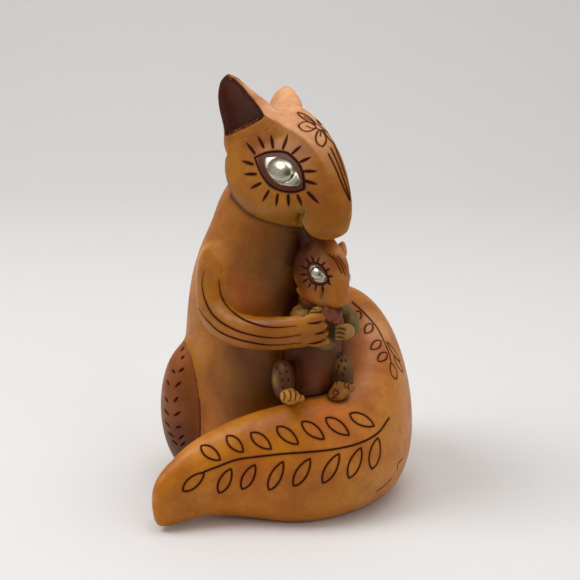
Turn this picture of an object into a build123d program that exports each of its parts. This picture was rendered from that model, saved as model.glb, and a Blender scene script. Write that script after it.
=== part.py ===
"""A seated mother squirrel who hugs her young inside the ring of her tail.

The ornament is slip-cast earthenware. Millimetres, +Z up, the floor at Z = 0.
+X runs to the viewer's right, and the display front, with the tail's painted side, faces -Y.
The mother looks to the front right, and her right side is the near side.
"""
import os
from math import cos, radians, sin

from build123d import *

os.makedirs("parts", exist_ok=True)

# Mother's body, an upright form on an oval foot
body_axis_x = -18.5
body_axis_y = 4.9
heading_angle = 44.0
body_height = 146.0
body_depth = 60.0
body_width = 46.0
wall = 4.5
vent_diameter = 3.0
overrun = 6.0
vent_reach_share = 0.40
pebble_shares = (-0.98, -0.80, -0.40, 0.00, 0.40, 0.80, 0.98)

# Each ring of the body: its height, its shift forward, its depth and its width
body_ring_shares = [
    (0.000, 0.067, 0.967, 1.043),
    (0.171, 0.067, 0.950, 0.957),
    (0.342, 0.067, 0.933, 0.913),
    (0.514, 0.067, 1.000, 0.978),
    (0.651, 0.050, 0.900, 0.978),
    (0.753, 0.067, 0.733, 0.870),
    (0.836, 0.108, 0.617, 0.760),
    (0.918, 0.183, 0.550, 0.640),
    (1.000, 0.290, 0.400, 0.480),
]

# Mother's head, tilted away from the viewer over her young
head_length = 72.0
head_height = 52.0
head_width = 29.0
head_roll = 18.0
head_forward = 27.0
head_aside = 1.0
head_rise = 1.0

# Each section of a head: its place ahead, then its crown, brow, cheek, jaw and chin. Each of
# these has its height, and the brow, cheek and jaw have half a width before it
head_station_shares = [
    (-0.425, 0.120, (0.30, 0.080), (0.48, 0.030), (0.30, -0.030), -0.060),
    (-0.385, 0.330, (0.55, 0.270), (0.80, 0.070), (0.62, -0.110), -0.165),
    (-0.280, 0.510, (0.66, 0.400), (0.93, 0.060), (0.74, -0.210), -0.285),
    (-0.140, 0.555, (0.66, 0.420), (0.99, 0.020), (0.80, -0.320), -0.410),
    (0.000, 0.490, (0.64, 0.360), (1.00, -0.020), (0.83, -0.390), -0.480),
    (0.139, 0.410, (0.64, 0.300), (0.97, -0.040), (0.81, -0.410), -0.490),
    (0.236, 0.330, (0.62, 0.235), (0.84, -0.080), (0.72, -0.400), -0.465),
    (0.333, 0.205, (0.52, 0.110), (0.66, -0.120), (0.58, -0.415), -0.490),
    (0.417, 0.080, (0.42, -0.025), (0.50, -0.180), (0.44, -0.405), -0.475),
    (0.486, -0.070, (0.28, -0.165), (0.33, -0.240), (0.29, -0.385), -0.435),
    (0.528, -0.210, (0.15, -0.270), (0.18, -0.305), (0.15, -0.365), -0.395),
]
head_hollow_stations = (2, 7)

# Ears, petals that are hollow on their outer side
ear_length = 24.0
ear_base = 28.5
ear_thickness = 10.0
ear_hollow_share = 0.78
ear_hollow_shift_share = 0.44
# Each section of an ear: its place forward, up and outward as shares of the ear's length,
# its length and thickness as shares of its base and thickness, and its turn in degrees
ear_section_shares = [
    (0.11, -0.20, -0.10, 1.00, 1.00, 44.0),
    (0.00, 0.06, 0.00, 0.94, 1.00, 40.0),
    (-0.20, 0.36, 0.13, 0.78, 0.86, 33.0),
    (-0.36, 0.60, 0.24, 0.58, 0.68, 24.0),
    (-0.45, 0.80, 0.30, 0.34, 0.46, 18.0),
    (-0.47, 0.90, 0.33, 0.14, 0.26, 14.0),
]
ear_seat_shares = {1: (-0.266, 0.290, 0.380), -1: (-0.300, 0.345, 0.380)}

# Eyes, silvered almonds with a domed middle
eye_length = 26.0
eye_height = 13.5
eye_depth = 3.0
eye_proud = 0.9
eye_dome_diameter = 12.0
eye_dome_rise = 2.4
eye_seat_share = (0.130, -0.004)
eye_tilt = -18.0
eye_turn = 3.0
eye_lift = 8.0
eye_face_share = 0.93

# Mother's haunches, one on each side of the body's back
haunch_diameter = 30.0
haunch_height = 64.0
haunch_back_share = 0.32
haunch_side_share = 0.36
haunch_middle_share = 0.51

# Tail, a fat roll that rings the body and ends in a point at the viewer's left
tail_middle_x = -1.5
tail_middle_y = -7.1
tail_span = 120.0
tail_reach = 116.0
tail_height = 82.0
tail_thickness = 34.0
# Each station of the tail: its place across and deep, its middle height and height,
# its thickness, and its lean inward in degrees
tail_station_shares = [
    (-0.300, 0.310, 0.180, 0.420, 0.740, 0.0),
    (-0.170, 0.420, 0.320, 0.720, 0.820, 4.0),
    (0.030, 0.460, 0.430, 0.920, 0.880, 8.0),
    (0.218, 0.370, 0.470, 0.990, 0.950, 10.0),
    (0.330, 0.180, 0.450, 0.950, 1.000, 12.0),
    (0.345, -0.050, 0.390, 0.840, 1.000, 12.0),
    (0.250, -0.230, 0.325, 0.710, 1.000, 10.0),
    (0.070, -0.300, 0.310, 0.660, 0.960, 8.0),
    (-0.115, -0.305, 0.285, 0.560, 0.840, 6.0),
    (-0.275, -0.335, 0.250, 0.435, 0.660, 4.0),
    (-0.380, -0.390, 0.190, 0.350, 0.470, 0.0),
    (-0.436, -0.440, 0.155, 0.250, 0.270, 0.0),
    (-0.456, -0.455, 0.145, 0.100, 0.110, 0.0),
]
tail_hollow_stations = (2, 9)
tail_vent_station = 6

# Mother's arms, bent at the elbow round her young
arm_width = 16.0
arm_thickness = 11.5
# Each section of an arm: its place forward, aside and up as shares of the body's depth,
# width and height, and its width and thickness as shares of the arm's
arm_section_shares = [
    (0.000, -0.320, 0.775, 0.560, 0.500),
    (0.010, -0.385, 0.745, 0.800, 0.700),
    (0.017, -0.430, 0.712, 0.960, 0.870),
    (0.033, -0.490, 0.640, 1.020, 0.960),
    (0.085, -0.530, 0.587, 1.030, 1.000),
    (0.230, -0.540, 0.556, 1.000, 1.040),
    (0.440, -0.515, 0.551, 0.920, 1.000),
    (0.620, -0.440, 0.557, 0.850, 0.880),
    (0.740, -0.370, 0.566, 0.780, 0.800),
    (0.805, -0.320, 0.571, 0.700, 0.700),
]
arm_reach_shares = {1: 1.00, -1: 0.72}

# Mother's hands
hand_length = 13.0
hand_height = 14.5
hand_thickness = 8.0
finger_length = 10.0
finger_diameter = 4.6
finger_count = 4
finger_spread_share = 0.245
palm_share = 0.16
knuckle_share = 0.40

# The young one's body, seated on the tail
baby_forward_share = 0.685
baby_side_share = -0.030
baby_heading_angle = 77.0
baby_seat_height = 46.0
baby_body_height = 56.0
baby_body_depth = 25.0
baby_body_width = 25.0
# Each ring of it: its height, its lean to the far side, its width and its depth
baby_ring_shares = [
    (0.000, 0.00, 0.72, 0.76),
    (0.180, 0.03, 0.94, 1.00),
    (0.360, 0.08, 0.96, 1.04),
    (0.580, 0.14, 0.88, 0.94),
    (0.760, 0.18, 0.76, 0.80),
    (0.900, 0.21, 0.62, 0.64),
    (1.000, 0.22, 0.48, 0.50),
]

# The young one's head
baby_head_length = 34.5
baby_head_height = 28.0
baby_head_width = 18.0
baby_head_angle = 58.0
baby_head_roll = 14.0
baby_head_forward = 3.7
baby_head_aside = 5.6
baby_head_rise = 5.2
baby_ear_length = 8.5
baby_ear_base = 9.5
baby_ear_thickness = 4.4
baby_ear_seat_share = (0.046, 0.150, 0.322)
baby_eye_length = 9.6
baby_eye_height = 7.0
baby_eye_depth = 2.0
baby_eye_proud = 0.5
baby_dome_diameter = 4.6
baby_dome_rise = 1.2

# The young one's limbs
baby_arm_diameter = 7.0
baby_hand_length = 7.0
baby_hand_thickness = 4.6
baby_knuckle_share = 0.40
baby_finger_diameter = 2.0
baby_finger_length = 5.0
# Each section of an arm: its place forward, aside and up, and its size, as shares
baby_arm_shares = {
    1: [(0.02, 0.18, 0.84, 0.90), (0.20, 0.30, 0.80, 1.00), (0.42, 0.28, 0.82, 0.92),
        (0.56, 0.14, 0.84, 0.80)],
    -1: [(0.00, 0.50, 0.82, 0.90), (0.06, 0.76, 0.73, 1.00), (0.20, 0.82, 0.66, 1.05),
         (0.42, 0.76, 0.63, 0.95)],
}
baby_hand_shares = {1: (0.60, 0.02, 0.84), -1: (0.56, 0.62, 0.645)}
leg_width = 9.6
leg_length = 17.0
leg_height = 19.0
leg_spread = 13.6
leg_forward = 9.0
leg_lift = 15.0
foot_length = 13.0
foot_width = 9.4
foot_height = 7.6
foot_spread = 10.6
foot_shift = -1.8
foot_forward = 18.0
foot_lift = 10.0
toe_diameter = 2.8
toe_length = 6.0
toe_count = 4
toe_spread_share = 0.23
toe_share = 0.36
foot_rise_shares = {1: 0.15, -1: 0.9}

# The nut
nut_diameter = 8.6
nut_height = 9.2
nut_cup_height = 3.6
nut_rim = 0.8
nut_cup_diameter = 9.2
nut_forward = 14.6
nut_aside = 7.5
nut_lift = 42.7
cup_share = 0.14

heading = Vector(cos(radians(heading_angle)), -sin(radians(heading_angle)), 0)
far_side = Vector(sin(radians(heading_angle)), cos(radians(heading_angle)), 0)
upward = Vector(0, 0, 1)
body_axis = Vector(body_axis_x, body_axis_y, 0)
tail_middle = Vector(tail_middle_x, tail_middle_y, 0)


def body_point(forward, aside, height):
    """A point by its distance ahead of the body's axis, towards her far side, and up."""
    return body_axis + heading * forward + far_side * aside + upward * height


def tilted_plane(centre, yaw, roll):
    """A plane whose X runs to the nose, Y to the crown and Z out to the near cheek."""
    ahead = Vector(cos(radians(yaw)), -sin(radians(yaw)), 0)
    across = Vector(sin(radians(yaw)), cos(radians(yaw)), 0)
    outward = upward * sin(radians(roll)) - across * cos(radians(roll))
    return Plane(origin=centre, x_dir=ahead, z_dir=outward)


def placed(plane, shape):
    """A shape that was made at the origin, moved to a plane."""
    return plane.from_local_coords(shape)


def egg(diameter, length):
    """A solid oval of revolution at the origin, its long way upright."""
    with BuildPart() as solid:
        with BuildSketch(Plane.XZ):
            with BuildLine():
                EllipticalCenterArc((0, 0), diameter / 2, length / 2, start_angle=-90, arc_size=180)
                Line((0, length / 2), (0, -length / 2))
            make_face()
        revolve(axis=Axis.Z)
    return solid.part


def dome(diameter, rise, skirt):
    """A low round dome at the origin, a ball's cap on a short straight skirt."""
    with BuildPart() as solid:
        with BuildSketch(Plane.XZ):
            with BuildLine():
                RadiusArc((0, rise), (diameter / 2, 0), (rise**2 + (diameter / 2)**2) / (2 * rise))
                Polyline((diameter / 2, 0), (diameter / 2, -skirt), (0, -skirt), (0, rise))
            make_face()
        revolve(axis=Axis.Z)
    return solid.part


def pebble(width, thickness, length):
    """A pebble at the origin, ovals lofted along its length and drawn in at both ends."""
    with BuildPart() as solid:
        for share in pebble_shares:
            girth = (1 - share**2) ** 0.5
            with BuildSketch(Plane.XY.offset(share * length / 2)):
                Ellipse(girth * width / 2, girth * thickness / 2)
        loft()
    return solid.part


def ring_stack(axis, direction, rings, height, depth, width, base, inset):
    """A loft through upright rings. Inset draws each ring in by a wall."""
    with BuildPart() as stack:
        for height_share, forward_share, depth_share, width_share in rings:
            level = max(height * height_share, inset)
            centre = axis + direction * (forward_share * depth) + upward * (base + level)
            with BuildSketch(Plane(origin=centre, x_dir=direction, z_dir=upward)):
                Ellipse(depth * depth_share / 2 - inset, width * width_share / 2 - inset)
        loft()
    return stack.part


def head_solid(plane, stations, length, height, width, inset):
    """A loft from the nape to the nose. Inset moves each point in, for the hollow."""
    with BuildPart() as solid:
        for ahead, crown, brow, cheek, jaw, chin in stations:
            right = [(x * width / 2, y * height) for x, y in (brow, cheek, jaw)]
            left = [(-x, y) for x, y in reversed(right)]
            outline = [(0, crown * height), *right, (0, chin * height), *left]
            middle = Vector(0, (crown + chin) * height / 2)
            spots = []
            for spot in outline:
                arm = Vector(*spot) - middle
                spots.append(middle + arm * ((arm.length - inset) / arm.length))
            centre = plane.from_local_coords(Vector(ahead * length, 0, 0))
            with BuildSketch(Plane(origin=centre, x_dir=plane.z_dir, z_dir=-plane.x_dir)):
                with BuildLine():
                    Spline(*spots, periodic=True)
                make_face()
        loft()
    return solid.part


def ear_solid(plane, head_size, sizes, seat_share, side):
    """One ear, petal sections lofted to a tip, less the same petal moved outward and shrunk."""
    long, base, thick = sizes
    seat_x, seat_y, seat_z = [share * size for share, size in zip(seat_share, head_size)]

    def petal(size_share, shift):
        with BuildPart() as form:
            for ahead, up, out, wide, deep, turn in ear_section_shares:
                local = Vector(
                    seat_x + ahead * long, seat_y + up * long, side * (seat_z + out * long + shift)
                )
                tangent = Vector(cos(radians(turn)), sin(radians(turn)), 0)
                normal = Vector(-sin(radians(turn)), cos(radians(turn)), 0)
                centre = plane.from_local_coords(local)
                along = plane.from_local_coords(local + tangent) - centre
                across = plane.from_local_coords(local + normal) - centre
                with BuildSketch(Plane(origin=centre, x_dir=along, z_dir=across)):
                    Ellipse(size_share * base * wide / 2, size_share * thick * deep / 2)
            loft()
        return form.part

    outer = petal(1, 0)
    hollow = petal(ear_hollow_share, ear_hollow_shift_share * thick)
    with BuildPart() as ear:
        add(outer)
        add(hollow, mode=Mode.SUBTRACT)
    return ear.part


def eye_solid(plane, head_size, sizes, side):
    """A silvered eye: an almond let into the cheek, with a low dome on it."""
    head_long, head_tall, head_wide = head_size
    long, tall, deep, proud, pupil, rise = sizes
    face = head_wide / 2 * eye_face_share
    centre = Vector(eye_seat_share[0] * head_long, eye_seat_share[1] * head_tall, side * face)
    origin = plane.from_local_coords(centre)
    outward = plane.z_dir * side
    ahead = plane.x_dir * cos(radians(eye_tilt)) + plane.y_dir * sin(radians(eye_tilt))
    turned = (outward + plane.x_dir * sin(radians(eye_turn))
              + plane.y_dir * sin(radians(eye_lift))).normalized()
    seat = Plane(origin=origin, x_dir=ahead, z_dir=turned)
    cap = placed(seat.offset(proud), dome(pupil, rise, deep / 2))
    with BuildPart() as eye:
        with BuildSketch(seat.offset(proud)):
            with BuildLine():
                ThreePointArc((-long / 2, 0), (0, tall / 2), (long / 2, 0))
                ThreePointArc((long / 2, 0), (0, -tall / 2), (-long / 2, 0))
            make_face()
        extrude(amount=-deep)
        add(cap)
    return eye.part


def limb(sections, side_direction):
    """A loft through ovals square to a path. Each section is a point, a width and a thickness."""
    count = len(sections)
    with BuildPart() as form:
        for index in range(count):
            point, wide, thick = sections[index]
            before = sections[max(index - 1, 0)][0]
            after = sections[min(index + 1, count - 1)][0]
            with BuildSketch(Plane(origin=point, x_dir=side_direction, z_dir=after - before)):
                Ellipse(thick / 2, wide / 2)
        loft()
    return form.part


def paw_solid(seat, palm, digit, count, spread, row_length):
    """A paw: a palm with a row of fingers at its front, all one solid. Both point along Z."""
    with BuildPart() as paw:
        add(placed(seat, palm))
        for index in range(count):
            share = index - (count - 1) / 2
            knuckle = seat.from_local_coords(Vector(share * spread, 0, row_length))
            add(placed(Plane(origin=knuckle, x_dir=seat.x_dir, z_dir=seat.z_dir), digit))
    return paw.part


def save(piece, name):
    """One finished piece goes to its own file under the name that it carries."""
    piece.part.label = name
    export_step(piece.part, f"parts/{name}.step")


# Forms of the mother
head_centre = body_point(head_forward, head_aside, body_height + head_rise)
head_plane = tilted_plane(head_centre, heading_angle, head_roll)
head_size = (head_length, head_height, head_width)
head_form = head_solid(head_plane, head_station_shares, *head_size, 0)
body_form = ring_stack(
    body_axis, heading, body_ring_shares, body_height, body_depth, body_width, 0, 0
)
body_hollow = ring_stack(
    body_axis, heading, body_ring_shares, body_height, body_depth, body_width, 0, wall
)
head_hollow = head_solid(
    head_plane, head_station_shares[slice(*head_hollow_stations)], *head_size, wall
)
ear_sizes = (ear_length, ear_base, ear_thickness)
eye_sizes = (eye_length, eye_height, eye_depth, eye_proud, eye_dome_diameter, eye_dome_rise)
ear_forms = {
    side: ear_solid(head_plane, head_size, ear_sizes, ear_seat_shares[side], side)
    for side in (1, -1)
}
eye_forms = {side: eye_solid(head_plane, head_size, eye_sizes, side) for side in (1, -1)}


def tail_solid(stations, inset):
    """The tail's roll, ovals that stand square to its path and lean inward."""
    spots = [
        tail_middle + Vector(x * tail_span, y * tail_reach, z * tail_height)
        for x, y, z, *_ in stations
    ]
    with BuildPart() as roll:
        for index, (_, _, _, tall, thick, lean) in enumerate(stations):
            before = spots[max(index - 1, 0)]
            after = spots[min(index + 1, len(spots) - 1)]
            run = Vector(after.X - before.X, after.Y - before.Y, 0).normalized()
            inward = Vector(run.Y, -run.X, 0)
            upright = upward * cos(radians(lean)) + inward * sin(radians(lean))
            with BuildSketch(Plane(origin=spots[index], x_dir=upright, z_dir=run)):
                Ellipse(tail_height * tall / 2 - inset, tail_thickness * thick / 2 - inset)
        loft()
    return roll.part


tail_form = tail_solid(tail_station_shares, 0)
tail_hollow = tail_solid(tail_station_shares[slice(*tail_hollow_stations)], wall)

haunch_forms = {}
for side in (1, -1):
    haunch_centre = body_point(
        -haunch_back_share * body_depth,
        -side * haunch_side_share * body_width,
        haunch_middle_share * haunch_height,
    )
    haunch_plane = Plane(origin=haunch_centre, x_dir=heading, z_dir=upward)
    haunch = pebble(haunch_diameter, haunch_diameter, haunch_height)
    haunch_forms[side] = placed(haunch_plane, haunch)

# Forms of the young one
baby_axis = body_point(baby_forward_share * body_depth, baby_side_share * body_width, 0)
baby_ahead = Vector(cos(radians(baby_heading_angle)), -sin(radians(baby_heading_angle)), 0)
baby_far = Vector(sin(radians(baby_heading_angle)), cos(radians(baby_heading_angle)), 0)
baby_form = ring_stack(
    baby_axis, baby_far, baby_ring_shares, baby_body_height, baby_body_width,
    baby_body_depth, baby_seat_height, 0
)


def baby_point(forward, aside, lift):
    """A point by its distance ahead of the young one's axis, to its far side, and above its seat."""
    return baby_axis + baby_ahead * forward + baby_far * aside + upward * (baby_seat_height + lift)


baby_head_plane = tilted_plane(
    baby_point(baby_head_forward, baby_head_aside, baby_body_height + baby_head_rise),
    baby_head_angle, baby_head_roll
)
baby_head_size = (baby_head_length, baby_head_height, baby_head_width)
baby_head_form = head_solid(baby_head_plane, head_station_shares, *baby_head_size, 0)
baby_ear_sizes = (baby_ear_length, baby_ear_base, baby_ear_thickness)
baby_eye_sizes = (
    baby_eye_length, baby_eye_height, baby_eye_depth, baby_eye_proud,
    baby_dome_diameter, baby_dome_rise
)
baby_ear_forms = {
    side: ear_solid(baby_head_plane, baby_head_size, baby_ear_sizes, baby_ear_seat_share, side)
    for side in (1, -1)
}
baby_eye_forms = {
    side: eye_solid(baby_head_plane, baby_head_size, baby_eye_sizes, side) for side in (1, -1)
}

arm_forms = {}
for side in (1, -1):
    sections = []
    for ahead, out, up, wide, thick in arm_section_shares:
        reach = ahead * body_depth * arm_reach_shares[side]
        spot = body_point(reach, side * out * body_width, up * body_height)
        sections.append((spot, wide * arm_width, thick * arm_thickness))
    arm_forms[side] = (limb(sections, far_side), sections)

near, far = 1, -1
side_names = {near: "right", far: "left"}

# Forms of the paws
finger = egg(finger_diameter, finger_length)
palm = pebble(hand_height, hand_thickness, hand_length)
hand_forms = {}
for side in (near, far):
    wrist, before = arm_forms[side][1][-1][0], arm_forms[side][1][-2][0]
    reach = (wrist - before).normalized()
    seat = Plane(origin=wrist + reach * hand_length * palm_share, x_dir=upward, z_dir=reach)
    hand_forms[side] = paw_solid(
        seat, palm, finger, finger_count, finger_spread_share * hand_height,
        hand_length * knuckle_share
    )

baby_finger = egg(baby_finger_diameter, baby_finger_length)
baby_palm = pebble(baby_hand_length, baby_hand_thickness, baby_hand_length)
baby_arm_forms = {}
baby_hand_forms = {}
for side in (near, far):
    sections = []
    for ahead, out, up, size in baby_arm_shares[side]:
        spot = baby_point(ahead * baby_body_depth, -side * out * baby_body_width,
                          up * baby_body_height)
        sections.append((spot, size * baby_arm_diameter, size * baby_arm_diameter))
    baby_arm_forms[side] = limb(sections, upward)
    ahead, out, up = baby_hand_shares[side]
    centre = baby_point(ahead * baby_body_depth, -side * out * baby_body_width,
                        up * baby_body_height)
    seat = Plane(origin=centre, x_dir=upward, z_dir=baby_far * side)
    baby_hand_forms[side] = paw_solid(
        seat, baby_palm, baby_finger, finger_count, finger_spread_share * baby_hand_length,
        baby_hand_length * baby_knuckle_share
    )

leg_forms = {}
foot_forms = {}
toe = egg(toe_diameter, toe_length)
sole = pebble(foot_width, foot_height, foot_length)
for side in (near, far):
    knee = baby_point(leg_forward, -side * leg_spread, leg_lift)
    leg_plane = Plane(origin=knee, x_dir=baby_ahead, z_dir=upward)
    leg_forms[side] = placed(leg_plane, pebble(leg_length, leg_width, leg_height))
    heel = baby_point(foot_forward, foot_shift - side * foot_spread, foot_lift)
    instep = (baby_ahead + upward * foot_rise_shares[side]).normalized()
    foot_plane = Plane(origin=heel, x_dir=baby_far, z_dir=instep)
    foot_forms[side] = paw_solid(
        foot_plane, sole, toe, toe_count, toe_spread_share * foot_width, foot_length * toe_share
    )

nut_centre = baby_point(nut_forward, nut_aside, nut_lift)
nut_plane = Plane(origin=nut_centre, x_dir=baby_ahead, z_dir=upward)
cup_plane = nut_plane.offset(nut_height * cup_share)
with BuildPart() as nut_whole:
    add(placed(nut_plane, egg(nut_diameter, nut_height)))
    add(placed(cup_plane, dome(nut_cup_diameter, nut_cup_height, nut_rim)))
nut_form = nut_whole.part

for side, name in side_names.items():
    with BuildPart() as mother_haunch:
        add(haunch_forms[side])
        add(body_form, mode=Mode.SUBTRACT)
        add(tail_form, mode=Mode.SUBTRACT)
    save(mother_haunch, f"mother_haunch_{name}")

with BuildPart() as mother_head:
    add(head_form)
    add(head_hollow, mode=Mode.SUBTRACT)
    add(body_hollow, mode=Mode.SUBTRACT)
    for side in (near, far):
        add(eye_forms[side], mode=Mode.SUBTRACT)
save(mother_head, "mother_head")

with BuildPart() as mother_body:
    add(body_form)
    add(head_form, mode=Mode.SUBTRACT)
    add(body_hollow, mode=Mode.SUBTRACT)
    with Locations(body_axis):
        Cylinder(vent_diameter / 2, wall + overrun, mode=Mode.SUBTRACT)
save(mother_body, "mother_body")

with BuildPart() as tail:
    add(tail_form)
    add(body_form, mode=Mode.SUBTRACT)
    split(bisect_by=Plane.XY, keep=Keep.TOP)
    add(tail_hollow, mode=Mode.SUBTRACT)
    vent_x, vent_y = tail_station_shares[tail_vent_station][:2]
    with Locations(tail_middle + Vector(vent_x * tail_span, vent_y * tail_reach, 0)):
        Cylinder(vent_diameter / 2, tail_height * vent_reach_share, mode=Mode.SUBTRACT)
save(tail, "tail")

for side, name in side_names.items():
    with BuildPart() as mother_ear:
        add(ear_forms[side])
        add(head_form, mode=Mode.SUBTRACT)
    save(mother_ear, f"mother_ear_{name}")

    with BuildPart() as mother_eye:
        add(eye_forms[side])
    save(mother_eye, f"mother_eye_{name}")

    with BuildPart() as mother_arm:
        add(arm_forms[side][0])
        add(body_form, mode=Mode.SUBTRACT)
        add(tail_form, mode=Mode.SUBTRACT)
    save(mother_arm, f"mother_arm_{name}")

    with BuildPart() as mother_hand:
        add(hand_forms[side])
        for other in (arm_forms[side][0], baby_form, tail_form):
            add(other, mode=Mode.SUBTRACT)
    save(mother_hand, f"mother_hand_{name}")

with BuildPart() as baby_body:
    add(baby_form)
    for other in (body_form, tail_form, arm_forms[near][0], arm_forms[far][0]):
        add(other, mode=Mode.SUBTRACT)
save(baby_body, "baby_body")

with BuildPart() as baby_head:
    add(baby_head_form)
    for other in (baby_form, head_form, body_form, baby_eye_forms[near], baby_eye_forms[far]):
        add(other, mode=Mode.SUBTRACT)
save(baby_head, "baby_head")

for side, name in side_names.items():
    with BuildPart() as baby_ear:
        add(baby_ear_forms[side])
        for other in (baby_head_form, head_form, body_form):
            add(other, mode=Mode.SUBTRACT)
    save(baby_ear, f"baby_ear_{name}")

    with BuildPart() as baby_eye:
        add(baby_eye_forms[side])
    save(baby_eye, f"baby_eye_{name}")

    with BuildPart() as baby_arm:
        add(baby_arm_forms[side])
        for other in (baby_form, baby_head_form, hand_forms[side], arm_forms[side][0], tail_form,
                      nut_form):
            add(other, mode=Mode.SUBTRACT)
    save(baby_arm, f"baby_arm_{name}")

    with BuildPart() as baby_hand:
        add(baby_hand_forms[side])
        for other in (baby_arm_forms[side], baby_form, baby_head_form, hand_forms[near],
                      nut_form, tail_form):
            add(other, mode=Mode.SUBTRACT)
    save(baby_hand, f"baby_hand_{name}")

    with BuildPart() as baby_leg:
        add(leg_forms[side])
        for other in (baby_form, tail_form, body_form, arm_forms[side][0]):
            add(other, mode=Mode.SUBTRACT)
    save(baby_leg, f"baby_leg_{name}")

    with BuildPart() as baby_foot:
        add(foot_forms[side])
        for other in (leg_forms[side], baby_form, tail_form):
            add(other, mode=Mode.SUBTRACT)
    save(baby_foot, f"baby_foot_{name}")

with BuildPart() as nut:
    add(nut_form)
    for other in (baby_form, baby_head_form, hand_forms[near]):
        add(other, mode=Mode.SUBTRACT)
save(nut, "nut")
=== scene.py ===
"""Looks of the earthenware squirrel: melted clay forms, incised lines, airbrushed slips and lustre,
with painted shade in folds and some clouds of painted shade and painted highlight.

Sizes are millimetres until a mesh is written. The photograph's frame is 580 x 580 pixels.
"""

import bpy
import numpy as np
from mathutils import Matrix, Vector
from mathutils.bvhtree import BVHTree


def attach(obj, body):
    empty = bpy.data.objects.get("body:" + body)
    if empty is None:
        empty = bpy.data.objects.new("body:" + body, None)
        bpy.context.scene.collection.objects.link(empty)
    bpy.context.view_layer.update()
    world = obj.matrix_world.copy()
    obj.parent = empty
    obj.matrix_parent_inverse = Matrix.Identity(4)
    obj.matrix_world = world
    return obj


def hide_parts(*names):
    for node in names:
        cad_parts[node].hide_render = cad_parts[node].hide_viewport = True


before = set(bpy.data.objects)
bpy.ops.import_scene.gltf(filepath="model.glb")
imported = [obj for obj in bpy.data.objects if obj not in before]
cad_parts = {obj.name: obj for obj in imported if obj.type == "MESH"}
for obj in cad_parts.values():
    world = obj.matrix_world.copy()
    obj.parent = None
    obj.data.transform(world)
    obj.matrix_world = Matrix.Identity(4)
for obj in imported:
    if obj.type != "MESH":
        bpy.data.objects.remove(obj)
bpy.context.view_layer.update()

bl_info = {
    "name": "Earthenware squirrel",
    "version": (1, 0, 0),
    "blender": (4, 5, 0),
    "location": "View3D > Sidebar > Squirrel",
    "description": "Builds the clay forms, incised lines, slips and lustre of a squirrel ornament",
    "category": "Object",
}

# Metres in a millimetre
METRE = 0.001

# The photograph's camera: the pixels of its frame, the lens in pixels and where it aims
PHOTO_SIZE = 580
LENS_PIXELS = 1251.0
CAMERA_DISTANCE = 560.0
CAMERA_ELEVATION = 15.0
CAMERA_AIM = np.array([1.9, -7.1, 93.0])

UPWARD = np.array([0.0, 0.0, 1.0])


def direction(yaw):
    """Unit vector ahead, and the one to its far side, for a heading in degrees."""
    turn = np.radians(yaw)
    return np.array([np.cos(turn), -np.sin(turn), 0.0]), np.array([np.sin(turn), np.cos(turn), 0.0])


def unit(rows):
    """Each row at a length of one."""
    return rows / np.maximum(np.linalg.norm(rows, axis=-1, keepdims=True), 1e-9)


def smooth(share):
    """An S from 0 to 1: three squares less two cubes."""
    share = np.clip(share, 0, 1)
    return share * share * (3 - 2 * share)


def hermite(rows, slopes, row, f):
    """The cubic from a row to the next that has the rows' slopes, at a share f of the way."""
    return (
        rows[row] * (2 * f**3 - 3 * f**2 + 1) + rows[row + 1] * (3 * f**2 - 2 * f**3)
        + slopes[row] * (f**3 - 2 * f**2 + f) + slopes[row + 1] * (f**3 - f**2)
    )


def through(table, count):
    """Rows on the cubic through a table's rows, whose slope at a row is its neighbours' chord."""
    table = np.asarray(table, float)
    place = np.linspace(0, len(table) - 1, count)
    row = np.minimum(place.astype(int), len(table) - 2)
    return hermite(table, np.gradient(table, axis=0), row, (place - row)[:, None])


def each(way, rows):
    """One direction for each of the rows."""
    return np.tile(way, (len(rows), 1))


def soft_min(first, second, soft):
    """The lower of two values, up to a quarter of the softness lower where they are near."""
    share = np.maximum(1 - np.abs(first - second) / soft, 0)
    return np.minimum(first, second) - soft / 4 * share**2


# Forms


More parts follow.
